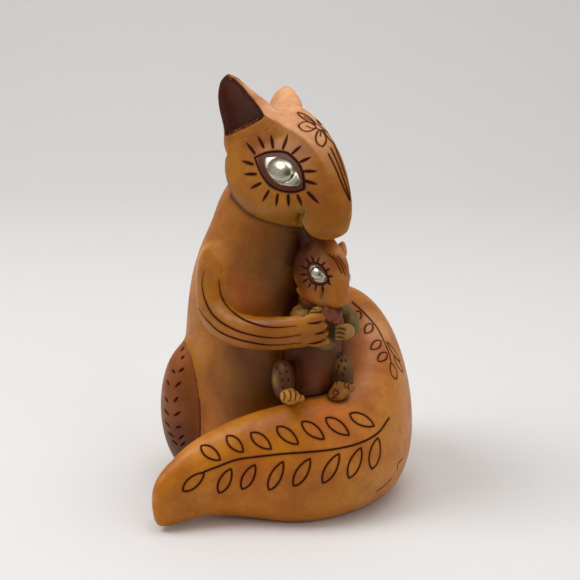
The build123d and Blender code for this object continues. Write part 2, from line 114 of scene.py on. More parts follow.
class Form:
    """Outlines carried along a path. It knows its surface, and how far any point is outside it."""

    bearings = np.linspace(-np.pi, np.pi, 73)
    batch = 20000
    carved = 0

    def __init__(self, centres, across, up, outlines, pitch):
        surface = self.swept(centres, across, up, outlines)
        steps = np.linalg.norm(np.diff(surface, axis=0), axis=2).max(1)
        run = np.concatenate([[0.0], np.cumsum(steps)])
        places = np.linspace(0, run[-1], max(int(run[-1] / pitch), 8))

        def respaced(values):
            flat = values.reshape(len(values), -1)
            return np.stack([np.interp(places, run, column) for column in flat.T], axis=1).reshape(
                -1, *values.shape[1:])

        centres, across, up, outlines = (respaced(v) for v in (centres, across, up, outlines))
        self.centres, self.across, self.up = centres, across, up
        self.surface = self.swept(centres, across, up, outlines)
        step = np.gradient(centres, axis=0)
        self.step = np.maximum(np.linalg.norm(step, axis=1), 1e-6)
        self.along = step / self.step[:, None]
        angle = np.arctan2(outlines[..., 1], outlines[..., 0])
        radius = np.hypot(outlines[..., 0], outlines[..., 1])
        self.reach = np.array([
            np.interp(self.bearings, a, r, period=2 * np.pi) for a, r in zip(angle, radius)
        ])
        around = np.gradient(self.reach, self.bearings, axis=1) / np.maximum(self.reach, 0.2)
        ahead = np.gradient(self.reach, axis=0) / self.step[:, None]
        self.lean = 1 / np.sqrt(1 + around**2 + ahead**2)

    @staticmethod
    def swept(centres, across, up, outlines):
        """Points of the outlines, each laid in the plane of its two directions at its centre."""
        return (
            centres[:, None] + outlines[..., :1] * across[:, None] + outlines[..., 1:] * up[:, None]
        )

    def depth(self, points):
        """Distance outside the form, below zero inside it.

        A point is measured in the section of its nearest centre: its distance from the centre,
        less the outline's reach on that bearing, times the cosine of the surface's lean, which
        counts for less the farther the point is away.
        """
        found = np.empty(len(points))
        rows = len(self.centres)
        squares = (self.centres**2).sum(1)
        for start in range(0, len(points), self.batch):
            p = points[start:start + self.batch]
            near = np.argmin(squares - 2 * p @ self.centres.T, axis=1)
            slide = ((p - self.centres[near]) * self.along[near]).sum(1) / self.step[near]
            row = np.clip(near + np.clip(slide, -1, 1), 0, rows - 1)
            low = np.minimum(row.astype(int), rows - 2)
            f = (row - low)[:, None]

            def mix(values):
                return values[low] * (1 - f) + values[low + 1] * f

            off = p - mix(self.centres)
            x = (off * mix(self.across)).sum(1)
            y = (off * mix(self.up)).sum(1)
            beyond = (off * mix(self.along)).sum(1)
            bearing = (np.arctan2(y, x) + np.pi) / (2 * np.pi) * (len(self.bearings) - 1)
            left = np.minimum(bearing.astype(int), len(self.bearings) - 2)
            g = bearing - left

            def look(values):
                return (
                    (values[low, left] * (1 - g) + values[low, left + 1] * g) * (1 - f[:, 0])
                    + (values[low + 1, left] * (1 - g) + values[low + 1, left + 1] * g) * f[:, 0]
                )

            reach, lean = look(self.reach), look(self.lean)
            gap = np.hypot(x, y) - reach
            radial = gap * (lean + (1 - lean) * np.clip(gap / (reach + 0.5), 0, 1))
            over = np.abs(beyond) > 0.02
            found[start:start + self.batch] = np.where(
                over, np.hypot(np.maximum(radial, 0), beyond) + np.minimum(radial, 0), radial
            )
        return found


def ovals(wide, tall, count):
    """Ellipses of the given half widths and half heights."""
    turn = np.linspace(0, 2 * np.pi, count, endpoint=False)
    return np.stack([wide[:, None] * np.cos(turn), tall[:, None] * np.sin(turn)], axis=2)


def round_off(centres, start, end):
    """A share for each row that closes a form's ends as ellipses do, over the given lengths."""
    run = np.concatenate([[0.0], np.cumsum(np.linalg.norm(np.diff(centres, axis=0), axis=1))])
    share = np.ones(len(centres))
    for length, place in ((start, run), (end, run[-1] - run)):
        if length:
            inside = np.clip(place / length, 0.0, 1)
            share *= np.sqrt(np.maximum(1 - (1 - inside) ** 2, 0.0004))
    return share


class Egg(Form):
    """An ellipsoid. Its rows are ovals along its third direction."""

    def __init__(self, centre, across, up, half_sizes, pitch):
        wide, tall, long = half_sizes
        self.middle, self.half_sizes = np.asarray(centre, float), np.asarray(half_sizes, float)
        self.ways = np.stack([across, up, np.cross(across, up)])
        swing = np.linspace(-np.pi / 2, np.pi / 2, 60)
        girth = np.maximum(np.cos(swing), 0.02)
        centres = self.middle + np.sin(swing)[:, None] * long * self.ways[2]
        around = max(int(2 * np.pi * max(wide, tall) / pitch), 16)
        super().__init__(
            centres, each(across, centres), each(up, centres),
            ovals(girth * wide, girth * tall, around), pitch,
        )

    def depth(self, points):
        """Distance outside: the share beyond the surface, times the length of that share's slope."""
        off = (points - self.middle) @ self.ways.T
        share = np.linalg.norm(off / self.half_sizes, axis=1)
        slope = np.maximum(np.linalg.norm(off / self.half_sizes**2, axis=1), 1e-6)
        return share * (share - 1) / slope


def tube(sections, side, pitch, ends):
    """A limb: ovals square to a smooth path. A section is x, y, z, half width and half height.

    The half width lies on the given side direction, and the half height square to it.
    """
    rows = through(sections, 200)
    along = unit(np.gradient(rows[:, :3], axis=0))
    across = unit(side - (along @ side)[:, None] * along)
    up = np.cross(along, across)
    share = round_off(rows[:, :3], *ends)
    around = max(int(2 * np.pi * rows[:, 3:].max() / pitch), 16)
    return Form(
        rows[:, :3], across, up, ovals(rows[:, 3] * share, rows[:, 4] * share, around), pitch)


# Sizes of the forms

BODY_AXIS = np.array([-18.5, 4.9, 0.0])
HEADING, FAR_SIDE = direction(44.0)
BODY_HEIGHT, BODY_DEPTH, BODY_WIDTH = 146.0, 60.0, 46.0
# Height, shift ahead, depth and width of each ring, as shares
BODY_RINGS = [
    (0.000, 0.067, 0.967, 1.043),
    (0.171, 0.010, 1.100, 1.020),
    (0.342, 0.000, 1.110, 1.020),
    (0.514, 0.020, 1.080, 1.020),
    (0.651, 0.050, 1.000, 1.000),
    (0.753, 0.105, 0.930, 0.900),
    (0.836, 0.155, 0.830, 0.760),
    (0.918, 0.195, 0.730, 0.630),
    (1.000, 0.260, 0.560, 0.470),
]

# Place ahead, crown, brow (half width, height), cheek, jaw and chin, as shares of the head's size
HEAD_STATIONS = [
    (-0.450, 0.160, 0.34, 0.110, 0.50, 0.030, 0.34, -0.060, -0.100),
    (-0.395, 0.360, 0.58, 0.290, 0.82, 0.070, 0.64, -0.130, -0.190),
    (-0.280, 0.520, 0.68, 0.400, 0.94, 0.060, 0.79, -0.265, -0.370),
    (-0.140, 0.580, 0.68, 0.420, 0.99, 0.020, 0.83, -0.350, -0.445),
    (0.000, 0.545, 0.65, 0.360, 1.00, -0.020, 0.84, -0.365, -0.445),
    (0.120, 0.477, 0.64, 0.310, 0.97, -0.037, 0.82, -0.350, -0.425),
    (0.190, 0.420, 0.63, 0.268, 0.91, -0.062, 0.77, -0.325, -0.390),
    (0.250, 0.358, 0.60, 0.212, 0.83, -0.090, 0.64, -0.300, -0.345),
    (0.310, 0.280, 0.55, 0.145, 0.73, -0.112, 0.62, -0.395, -0.470),
    (0.360, 0.205, 0.48, 0.075, 0.63, -0.135, 0.57, -0.412, -0.487),
    (0.417, 0.100, 0.42, -0.025, 0.52, -0.180, 0.46, -0.405, -0.475),
    (0.486, -0.055, 0.28, -0.160, 0.34, -0.240, 0.30, -0.385, -0.435),
    (0.528, -0.200, 0.15, -0.265, 0.18, -0.305, 0.15, -0.365, -0.395),
]

# The nape and the nose are rounded over these shares of the head's length
HEAD_END_SHARES = (0.07, 0.035)

# The young one's mouth is no more than an incised line, so its chin has no notch
BABY_HEAD_STATIONS = [
    *HEAD_STATIONS[:3],
    (-0.140, 0.580, 0.68, 0.420, 0.99, 0.020, 0.82, -0.340, -0.440),
    (0.000, 0.545, 0.65, 0.360, 1.00, -0.020, 0.86, -0.420, -0.510),
    (0.140, 0.465, 0.64, 0.300, 0.97, -0.040, 0.86, -0.440, -0.535),
    (0.290, 0.305, 0.56, 0.165, 0.77, -0.105, 0.74, -0.440, -0.530),
    *HEAD_STATIONS[10:],
]

TAIL_MIDDLE = np.array([-1.5, -7.1, 0.0])
TAIL_SPAN, TAIL_REACH, TAIL_HEIGHT, TAIL_THICKNESS = 120.0, 116.0, 82.0, 34.0
# The lengths over which its root and its point are rounded
TAIL_ENDS = (10.0, 2.0)
# Place across and deep, middle height, height, thickness, and lean inward in degrees
TAIL_STATIONS = [
    (-0.360, 0.205, 0.150, 0.300, 0.560, 0.0),
    (-0.300, 0.310, 0.180, 0.420, 0.740, 0.0),
    (-0.170, 0.420, 0.320, 0.720, 0.820, 4.0),
    (0.030, 0.460, 0.430, 0.920, 0.880, 8.0),
    (0.222, 0.370, 0.510, 1.050, 0.960, 4.0),
    (0.335, 0.180, 0.495, 1.010, 1.010, 4.0),
    (0.345, -0.050, 0.410, 0.830, 1.000, 6.0),
    (0.250, -0.225, 0.345, 0.690, 1.000, 6.0),
    (0.070, -0.300, 0.310, 0.660, 0.960, 8.0),
    (-0.115, -0.305, 0.285, 0.560, 0.840, 6.0),
    (-0.275, -0.335, 0.250, 0.435, 0.660, 4.0),
    (-0.380, -0.390, 0.190, 0.350, 0.470, 0.0),
    (-0.436, -0.440, 0.155, 0.250, 0.270, 0.0),
    (-0.456, -0.455, 0.145, 0.100, 0.110, 0.0),
]

ARM_WIDTH, ARM_THICKNESS = 16.0, 11.5
ARM_ENDS = (4.0, 9.0)
# Place ahead, aside and up, then width and thickness, as shares
ARM_SECTIONS = [
    (0.000, -0.320, 0.775, 0.560, 0.500),
    (0.010, -0.385, 0.745, 0.800, 0.700),
    (0.017, -0.430, 0.712, 0.960, 0.870),
    (0.033, -0.490, 0.640, 1.020, 0.960),
    (0.085, -0.530, 0.587, 1.030, 1.000),
    (0.230, -0.540, 0.556, 1.000, 1.040),
    (0.440, -0.515, 0.551, 0.920, 1.000),
    (0.620, -0.440, 0.557, 0.900, 0.880),
    (0.740, -0.370, 0.566, 0.900, 0.780),
    (0.805, -0.320, 0.571, 0.880, 0.700),
]
NEAR, FAR = 1, -1
SIDE_NAMES = {NEAR: "right", FAR: "left"}
ARM_REACH = {NEAR: 1.00, FAR: 0.72}


def body_point(ahead, aside, height):
    """A point by its distance ahead of the body's axis, to her far side, and up."""
    return BODY_AXIS + HEADING * ahead + FAR_SIDE * aside + UPWARD * height


def body_form(pitch):
    """Upright ovals whose long way is the mother's heading."""
    rows = through(BODY_RINGS, 200)
    centres = (
        BODY_AXIS + rows[:, :1] * BODY_HEIGHT * UPWARD + rows[:, 1:2] * BODY_DEPTH * HEADING
    )
    around = int(np.pi * BODY_DEPTH / pitch)
    return Form(
        centres, each(HEADING, rows), each(FAR_SIDE, rows),
        ovals(rows[:, 2] * BODY_DEPTH / 2, rows[:, 3] * BODY_WIDTH / 2, around), pitch,
    )


def tail_form(pitch):
    """The tail's roll: ovals that stand square to its path and lean inward."""
    rows = through(TAIL_STATIONS, 400)
    sizes = np.array([TAIL_SPAN, TAIL_REACH, TAIL_HEIGHT])
    rows[:, :3] = TAIL_MIDDLE + rows[:, :3] * sizes
    run = np.gradient(rows[:, :3], axis=0)
    run[:, 2] = 0
    run = unit(run)
    inward = np.cross(run, UPWARD)
    lean = np.radians(rows[:, 5:6])
    upright = UPWARD * np.cos(lean) + inward * np.sin(lean)
    across = np.cross(run, upright)
    share = round_off(rows[:, :3], *TAIL_ENDS)
    around = int(2.4 * TAIL_HEIGHT / pitch)
    return Form(
        rows[:, :3], upright, across,
        ovals(
            rows[:, 3] * TAIL_HEIGHT / 2 * share, rows[:, 4] * TAIL_THICKNESS / 2 * share, around),
        pitch,
    )


def arm_point(side, ahead, aside, height):
    """A point of an arm from shares of the body's sizes."""
    return body_point(
        ahead * BODY_DEPTH * ARM_REACH[side], side * aside * BODY_WIDTH, height * BODY_HEIGHT)


def arm_form(side, pitch):
    """An arm from the shoulder round the elbow to the wrist."""
    sections = np.array([
        [*arm_point(side, *place), thick * ARM_THICKNESS / 2, wide * ARM_WIDTH / 2]
        for *place, wide, thick in ARM_SECTIONS
    ])
    return tube(sections, FAR_SIDE, pitch, ARM_ENDS)


# The young one's body, seated on the tail
BABY_AXIS = body_point(0.685 * BODY_DEPTH, -0.030 * BODY_WIDTH, 0)
BABY_HEADING, BABY_FAR = direction(77.0)
BABY_SEAT = 46.0
BABY_HEIGHT, BABY_DEPTH, BABY_WIDTH = 56.0, 25.0, 25.0
# Height, lean to the far side, width and depth of each ring, as shares
BABY_RINGS = [
    (0.000, 0.00, 0.72, 0.76),
    (0.180, 0.03, 0.94, 1.00),
    (0.360, 0.08, 0.96, 1.04),
    (0.580, 0.14, 0.88, 0.94),
    (0.760, 0.18, 0.76, 0.80),
    (0.900, 0.21, 0.62, 0.64),
    (1.000, 0.22, 0.48, 0.50),
]


def baby_point(ahead, aside, lift):
    """A point by its distance ahead of the young one's axis, to its far side, and above its seat."""
    return BABY_AXIS + BABY_HEADING * ahead + BABY_FAR * aside + UPWARD * (BABY_SEAT + lift)


class HeadFrame:
    """A head's own directions: ahead to the nose, up to the crown, and out to the near cheek."""

    def __init__(self, centre, yaw, roll, size, stations):
        self.centre, self.size, self.stations = centre, np.asarray(size), np.array(stations)
        self.ahead, across = direction(yaw)
        tilt = np.radians(roll)
        self.out = UPWARD * np.sin(tilt) - across * np.cos(tilt)
        self.up = np.cross(self.out, self.ahead)

    def point(self, ahead, up, out):
        """Points from lengths in millimetres along the three directions."""
        return (
            self.centre + np.multiply.outer(ahead, self.ahead) + np.multiply.outer(up, self.up)
            + np.multiply.outer(out, self.out)
        )

    def lengths(self, points):
        """The three lengths of points, the way back."""
        off = points - self.centre
        return off @ self.ahead, off @ self.up, off @ self.out


# Each head: its middle, its heading and its roll to the far side in degrees, its size, its stations
MOTHER = HeadFrame(
    body_point(27.0, 1.0, BODY_HEIGHT + 1.0), 44.0, 18.0, (72.0, 52.0, 29.0), HEAD_STATIONS)
BABY = HeadFrame(
    baby_point(3.7, 5.6, BABY_HEIGHT + 5.2), 58.0, 14.0, (34.5, 28.0, 18.0), BABY_HEAD_STATIONS)


def head_form(head, pitch):
    """Sections from the nape to the nose, with a crest, a crisp brow ridge, a cheek and a jaw.

    The half outline has two stretches: a shallow bow from the crest to the ridge, and the cubic
    from the ridge through the cheek and jaw to the chin, which it meets level. Its mirror image
    closes it.
    """
    long, tall, wide = head.size
    rows = through(head.stations, 300)
    crown, bx, by, cx, cy, jx, jy, chin = rows[:, 1:].T
    middle = (crown + chin) / 2 * tall
    flat = np.zeros(len(rows))
    knots = np.stack([
        np.stack([bx * wide / 2, by * tall], 1), np.stack([cx * wide / 2, cy * tall], 1),
        np.stack([jx * wide / 2, jy * tall], 1), np.stack([flat, chin * tall], 1),
    ])
    top_count, low_count = int(0.42 * wide / pitch) + 4, int(1.05 * tall / pitch) + 8
    t = np.linspace(0, 1, top_count, endpoint=False)[:, None]
    dip = 0.20 * wide * smooth((0.35 - rows[:, 0]) / 0.5) - 0.12 * wide
    top_x = t * knots[0][None, :, 0]
    top_y = (crown * tall) * (1 - t) + knots[0][None, :, 1] * t - dip * t * (1 - t) * 1.2
    slopes = np.gradient(knots, axis=0)
    slopes[0] = (knots[1] - knots[0]) * np.array([0.35, 1.0])
    slopes[3] = np.stack([-0.9 * jx * wide / 2, flat], 1)
    place = np.linspace(0, 3, low_count)
    row = np.minimum(place.astype(int), 2)
    low = hermite(knots, slopes, row, (place - row)[:, None, None])
    half = np.concatenate([np.stack([top_x, top_y], 2), low])
    mirrored = half[1:-1][::-1] * np.array([-1.0, 1.0])
    outline = np.concatenate([half, mirrored]).transpose(1, 0, 2)
    outline[..., 1] -= middle[:, None]
    centres = head.centre + rows[:, :1] * long * head.ahead + middle[:, None] * head.up
    nape, nose = HEAD_END_SHARES
    share = round_off(centres, nape * long, nose * long)
    return Form(
        centres, each(head.out, rows), each(head.up, rows),
        outline * share[:, None, None], pitch,
    )


# Place ahead, up and out as shares of the ear's length, its width, its thickness and its turn
EAR_SECTIONS = [
    (0.11, -0.20, -0.26, 1.00, 0.80, 44.0),
    (0.00, 0.06, -0.07, 0.96, 0.92, 40.0),
    (-0.20, 0.36, 0.13, 0.78, 0.86, 33.0),
    (-0.36, 0.60, 0.24, 0.58, 0.68, 24.0),
    (-0.45, 0.80, 0.30, 0.34, 0.46, 18.0),
    (-0.47, 0.90, 0.33, 0.14, 0.26, 14.0),
]
EAR_SEATS = {NEAR: (-0.266, 0.290, 0.380), FAR: (-0.285, 0.365, 0.370)}
EAR_SIZE = (24.0, 28.5, 10.0)
BABY_EAR_SEATS = {NEAR: (-0.060, 0.190, 0.280), FAR: (0.110, 0.110, 0.220)}
BABY_EAR_SIZES = {NEAR: (12.5, 15.0, 6.0), FAR: (11.5, 12.0, 5.0)}
# The ear's tip is rounded over this share of its length
EAR_TIP_SHARE = 0.14
# The hollow's middle towards the back, its half width, its middle outward and its half depth
HOLLOW_SHARES = (-0.05, 0.80, 1.00, 1.36)
# Rows of the ear, those where the hollow begins and ends, and the shares that round its two ends
EAR_ROWS, HOLLOW_ROWS, HOLLOW_ENDS = 240, slice(40, 223), (0.06, 0.20)


class Ear:
    """A petal, the hollow cut into its outer face, and the mesh of the petal so cut."""

    carved = 1

    def __init__(self, head, seat, size, side, pitch):
        long, base, thick = size
        rows = through(EAR_SECTIONS, EAR_ROWS)
        local = np.array(seat) * head.size + rows[:, :3] * long
        centres = head.point(local[:, 0], local[:, 1], side * local[:, 2])
        turn = np.radians(rows[:, 5:6])
        across = np.cos(turn) * head.ahead + np.sin(turn) * head.up
        out = each(side * head.out, rows)
        share = round_off(centres, 0, EAR_TIP_SHARE * long)
        wide, deep = rows[:, 3] * base / 2 * share, rows[:, 4] * thick / 2 * share
        around = max(int(2.3 * base / pitch), 24)
        outline = ovals(wide, deep, around)
        self.petal = Form(centres, across, out, outline, pitch)
        back, half, middle, sunk = HOLLOW_SHARES
        inner = HOLLOW_ROWS
        closing = np.zeros(len(rows))
        closing[inner] = round_off(centres[inner], *(end * long for end in HOLLOW_ENDS))
        spot = centres + (back * wide)[:, None] * across + (middle * deep)[:, None] * out
        bowl_wide, bowl_deep = half * wide * closing, sunk * deep * closing
        self.hollow = Form(
            spot[inner], across[inner], out[inner],
            ovals(bowl_wide[inner], bowl_deep[inner], around), pitch)
        x, y = outline[..., 0], outline[..., 1]
        reach = np.maximum(bowl_wide[:, None], 1e-3)
        chord = 1 - ((x - (back * wide)[:, None]) / reach) ** 2
        floor = np.where(
            chord > 0,
            (middle * deep)[:, None] - bowl_deep[:, None] * np.sqrt(np.maximum(chord, 0)), thick)
        dented = np.where(y > 0, soft_min(y, floor, 0.08 * thick), y)
        self.mesh = Form(centres, across, out, np.stack([x, dented], 2), pitch)
        self.surface = self.mesh.surface
        self.depth = self.petal.depth


# Mother's hands and the young one's paws
HAND_LENGTH, HAND_HEIGHT, HAND_THICKNESS = 18.0, 14.2, 7.8
FINGER_LENGTH, FINGER_DIAMETER = 10.0, 4.6
FINGERS = 4
# Places of the row of fingers, as shares of the hand's height and length
FINGER_SPREAD, FINGER_ROW = 0.245, 0.46
BABY_ARM_DIAMETER, BABY_ARM_ENDS = 7.0, (3.0, 2.0)
# Place ahead, aside and up, and size, as shares
BABY_ARMS = {
    NEAR: [(0.02, 0.14, 0.78, 0.90), (0.20, 0.24, 0.75, 0.95), (0.42, 0.24, 0.77, 0.90),
           (0.56, 0.12, 0.79, 0.80)],
    FAR: [(0.00, 0.44, 0.82, 0.90), (0.06, 0.66, 0.73, 1.00), (0.20, 0.72, 0.66, 1.05),
          (0.42, 0.66, 0.63, 0.95)],
}
BABY_HANDS = {NEAR: (0.60, 0.00, 0.80), FAR: (0.56, 0.53, 0.645)}
BABY_HAND_LENGTH, BABY_HAND_THICKNESS, BABY_FINGER, BABY_FINGER_ROW = 7.0, 4.6, (2.0, 5.0), 0.40
# Knees and heels: ahead, aside and up from the young one's seat
BABY_KNEES = {NEAR: (9.0, -13.6, 15.0), FAR: (9.0, 12.4, 15.0)}
BABY_LEG_HALVES = (8.5, 4.8, 9.5)
BABY_HEELS = {NEAR: (18.0, -12.4, 10.0), FAR: (18.0, 8.8, 10.0)}
# How far a foot points up and aside, its width, thickness and length, and its toes
FOOT_TURNS = {NEAR: (0.15, 0.0), FAR: (1.5, 0.8)}
FOOT_SIZE, TOE, TOE_SPREAD, TOE_ROW = (8.4, 6.4, 10.0), (2.9, 5.0), 0.29, 0.44
# A haunch: its place behind and aside as shares, its middle height and its half sizes
HAUNCH_SHARES, HAUNCH_MIDDLE, HAUNCH_HALVES = (-0.32, 0.36), 32.64, (15.0, 15.0, 32.0)
# The lobe of the young one's shoulder that shows over its mother's hand, by its pixel
LOBE_PIXEL, LOBE_HALVES = (326, 344), (4.6, 3.4, 3.0)
# The nut's heart has this share of its size, and lobes round it
NUT_SIZE, NUT_HEART_SHARE, NUT_LOBE_HALVES = (9.2, 9.2, 8.0), 0.43, (1.7, 1.5, 1.8)
# Lobes of the nut's husk: ahead, aside and up, as shares of its width
NUT_LOBES = [
    (0.32, -0.30, 0.30), (0.38, 0.00, 0.16), (0.30, 0.28, 0.04), (0.40, -0.20, -0.02),
    (0.38, 0.10, -0.18), (0.28, -0.40, 0.08), (0.32, 0.34, -0.26), (0.20, -0.04, 0.38),
]
NUT_PLACE = (14.6, 6.2, 44.6)


def paw_forms(seat, across, ahead, palm, digit, spread, row, pitch):
    """A palm and a row of four digits at its front, all pointing ahead.

    Spread and row place the digits, as shares of the palm's width and length.
    """
    third = np.cross(across, ahead)
    wide, thick, long = palm
    girth, reach = digit
    paw = [Egg(seat, across, third, (wide / 2, thick / 2, long / 2), pitch)]
    for index in range(FINGERS):
        share = index - (FINGERS - 1) / 2
        middle = seat + across * share * (spread * wide) + ahead * (row * long)
        paw.append(Egg(middle, across, third, (girth / 2, girth / 2, reach / 2), pitch))
    return paw


def hand_forms(side, pitch):
    """A hand on the end of its arm."""
    before, wrist = (arm_point(side, *section[:3]) for section in ARM_SECTIONS[-2:])
    ahead = unit(wrist - before)
    across = unit(UPWARD - ahead * ahead[2])
    seat = wrist - ahead * HAND_LENGTH * 0.05
    return paw_forms(
        seat, across, ahead, (HAND_HEIGHT, HAND_THICKNESS, HAND_LENGTH),
        (FINGER_DIAMETER, FINGER_LENGTH), FINGER_SPREAD, FINGER_ROW, pitch)


def baby_arm(side, pitch):
    """One of the young one's arms."""
    rows = []
    for a, b, c, size in BABY_ARMS[side]:
        spot = baby_point(a * BABY_DEPTH, -side * b * BABY_WIDTH, c * BABY_HEIGHT)
        rows.append([*spot, size * BABY_ARM_DIAMETER / 2, size * BABY_ARM_DIAMETER / 2])
    return tube(np.array(rows), UPWARD, pitch, BABY_ARM_ENDS)


def baby_hand(side, pitch):
    """One of the young one's hands, its fingers across the nut."""
    a, b, c = BABY_HANDS[side]
    seat = baby_point(a * BABY_DEPTH, -side * b * BABY_WIDTH, c * BABY_HEIGHT)
    palm = (BABY_HAND_LENGTH, BABY_HAND_THICKNESS, BABY_HAND_LENGTH)
    return paw_forms(
        seat, UPWARD, BABY_FAR * side, palm, BABY_FINGER, FINGER_SPREAD, BABY_FINGER_ROW, pitch)


def baby_leg(side, pitch):
    """A bent leg, an upright pebble."""
    return Egg(baby_point(*BABY_KNEES[side]), BABY_HEADING, BABY_FAR, BABY_LEG_HALVES, pitch)


def baby_foot(side, pitch):
    """A foot with four toes on its front."""
    lift, aside = FOOT_TURNS[side]
    ahead = unit(BABY_HEADING + UPWARD * lift + BABY_FAR * aside)
    across = unit(BABY_FAR - ahead * (ahead @ BABY_FAR))
    return paw_forms(
        baby_point(*BABY_HEELS[side]), across, ahead, FOOT_SIZE, TOE, TOE_SPREAD, TOE_ROW, pitch)


def haunch_form(side, pitch):
    """A haunch, a long egg on the body's back quarter."""
    behind, aside = HAUNCH_SHARES
    centre = body_point(behind * BODY_DEPTH, -side * aside * BODY_WIDTH, HAUNCH_MIDDLE)
    return Egg(centre, HEADING, FAR_SIDE, HAUNCH_HALVES, pitch)


def baby_form(pitch):
    """The young one's body: upright ovals that lean to its far side."""
    rows = through(BABY_RINGS, 120)
    centres = (
        BABY_AXIS + (rows[:, :1] * BABY_HEIGHT + BABY_SEAT) * UPWARD
        + rows[:, 1:2] * BABY_WIDTH * BABY_FAR
    )
    around = int(3.1 * BABY_WIDTH / pitch)
    return Form(
        centres, each(BABY_FAR, rows), each(-BABY_HEADING, rows),
        ovals(rows[:, 2] * BABY_WIDTH / 2, rows[:, 3] * BABY_DEPTH / 2, around), pitch,
    )


# Meshes


def closed_grid(surface):
    """Triangles over rows of closed outlines, with a point at each end, facing outward."""
    rows, around = surface.shape[:2]
    points = np.concatenate([
        surface.reshape(-1, 3), surface[0].mean(0, keepdims=True),
        surface[-1].mean(0, keepdims=True),
    ])
    index = np.arange(rows * around).reshape(rows, around)
    after = np.roll(index, -1, axis=1)
    a, b, c, d = index[:-1].ravel(), after[:-1].ravel(), after[1:].ravel(), index[1:].ravel()
    sides = np.concatenate([np.stack([a, b, c], 1), np.stack([a, c, d], 1)])
    first, last = rows * around, rows * around + 1
    start = np.stack([after[0], index[0], np.full(around, first)], 1)
    end = np.stack([index[-1], after[-1], np.full(around, last)], 1)
    faces = np.concatenate([sides, start, end])
    corners = points[faces]
    volume = np.einsum("ij,ij->i", corners[:, 0], np.cross(corners[:, 1], corners[:, 2])).sum()
    return points, faces if volume > 0 else faces[:, ::-1]


def normals_of(points, faces):
    """Each point's normal: the sum of its faces' normals, each as long as its face is large."""
    corners = points[faces]
    flat = np.cross(corners[:, 1] - corners[:, 0], corners[:, 2] - corners[:, 0])
    total = np.zeros_like(points)
    for corner in range(3):
        for axis in range(3):
            total[:, axis] += np.bincount(faces[:, corner], flat[:, axis], len(points))
    return unit(total)


def joined(parts):
    """Several meshes as one list of points and one of faces."""
    points = np.concatenate([p for p, _ in parts])
    starts = np.cumsum([0] + [len(p) for p, _ in parts[:-1]])
    return points, np.concatenate([f + start for (_, f), start in zip(parts, starts)])


# A distance beyond all, the roundness of a hollow's edge, and how far points sink: at most, and
# in a hollow
FAR_AWAY, HOLLOW_EDGE, SINK, HOLLOW_SINK = 1e3, 0.8, -0.8, -6.5
# Steps of a melt, the longest of them, and the share of the distance that a step goes
MELT_STEPS, LONGEST_STEP, STEP_SHARE = 9, 1.4, 0.9
# A surface dives where a neighbour is nearer than its own form by more than this
DIVE_MARGIN = 0.1


def blended(points, own, others, softs, hollows):
    """How far points are outside a form that melts softly into others, and dives under them.

    Each neighbour is joined by the soft minimum of the two distances. Hollows are cut from the
    sum, with a narrow round edge. Where a neighbour is nearer, the difference is added, so that
    the surface goes down inside it.
    """
    mine = own.depth(points)
    total, nearest = mine.copy(), np.full(len(points), FAR_AWAY)
    for form, soft in zip(others, softs):
        theirs = form.depth(points)
        nearest = np.minimum(nearest, theirs)
        total = soft_min(total, theirs, soft)
    for hollow in hollows:
        total = -soft_min(-total, hollow.depth(points), HOLLOW_EDGE)
    return total + np.maximum(0, mine - nearest - DIVE_MARGIN)


def melted(points, faces, own, neighbours, hollows=()):
    """Points moved along their normals until they lie on the blended surface.

    A neighbour's softness is a length, or a function of the points.
    """
    if not neighbours:
        return points
    normals = normals_of(points, faces)
    others = [form for form, _ in neighbours]
    softs = [soft(points) if callable(soft) else np.full(len(points), float(soft))
             for _, soft in neighbours]
    reach = np.full(len(points), FAR_AWAY)
    for form, soft in zip(others, softs):
        reach = np.minimum(reach, form.depth(points) - soft)
    for hollow in hollows:
        reach = np.minimum(reach, hollow.depth(points) - 0.5)
    active = np.nonzero(reach < 0)[0]
    softs = [soft[active] for soft in softs]
    limit = max([soft.max() for soft in softs if len(soft)] + [1.0])
    shift = np.zeros(len(active))
    lowest = np.full(len(active), SINK)
    for hollow in hollows:
        inside = hollow.depth(points[active]) < 0
        lowest = np.where(inside & (own.carved == 0), HOLLOW_SINK, lowest)
    for _ in range(MELT_STEPS):
        spots = points[active] + normals[active] * shift[:, None]
        level = blended(spots, own, others, softs, hollows)
        step = np.clip(level, -LONGEST_STEP, LONGEST_STEP) * STEP_SHARE
        shift = np.clip(shift - step, lowest, limit)
    moved = points.copy()
    moved[active] += normals[active] * shift[:, None]
    return moved


# Incised lines


def ray(pixel):
    """The camera's place, and its direction through a pixel of the photograph."""
    tilt = np.radians(CAMERA_ELEVATION)
    ahead = np.array([0.0, np.cos(tilt), -np.sin(tilt)])
    above = np.array([0.0, np.sin(tilt), np.cos(tilt)])
    place = CAMERA_AIM - CAMERA_DISTANCE * ahead
    off = (np.asarray(pixel, float) - PHOTO_SIZE / 2) / LENS_PIXELS
    return place, unit(ahead + off[..., :1] * np.array([1.0, 0.0, 0.0]) - off[..., 1:] * above)


def pinned(known, pixels):
    """Where pixels of the photograph first fall on meshes. A pixel beside them all is left out."""
    found = []
    for pixel in pixels:
        place, aim = ray(pixel)
        hits = [tree.ray_cast(Vector(place), Vector(aim)) for tree in known]
        hits = [(away, spot[:]) for spot, _, _, away in hits if spot is not None]
        if hits:
            found.append(min(hits)[1])
    return np.array(found).reshape(-1, 3)


# Points on a cut, a lash, a line of a paw, a short line, a lid or the short stem, a line of an arm,
# and the long stem
CUT_POINTS, LASH_POINTS, PAW_POINTS, LINE_POINTS, LID_POINTS, ARM_POINTS, STEM_POINTS = (
    5, 8, 14, 24, 40, 50, 60)
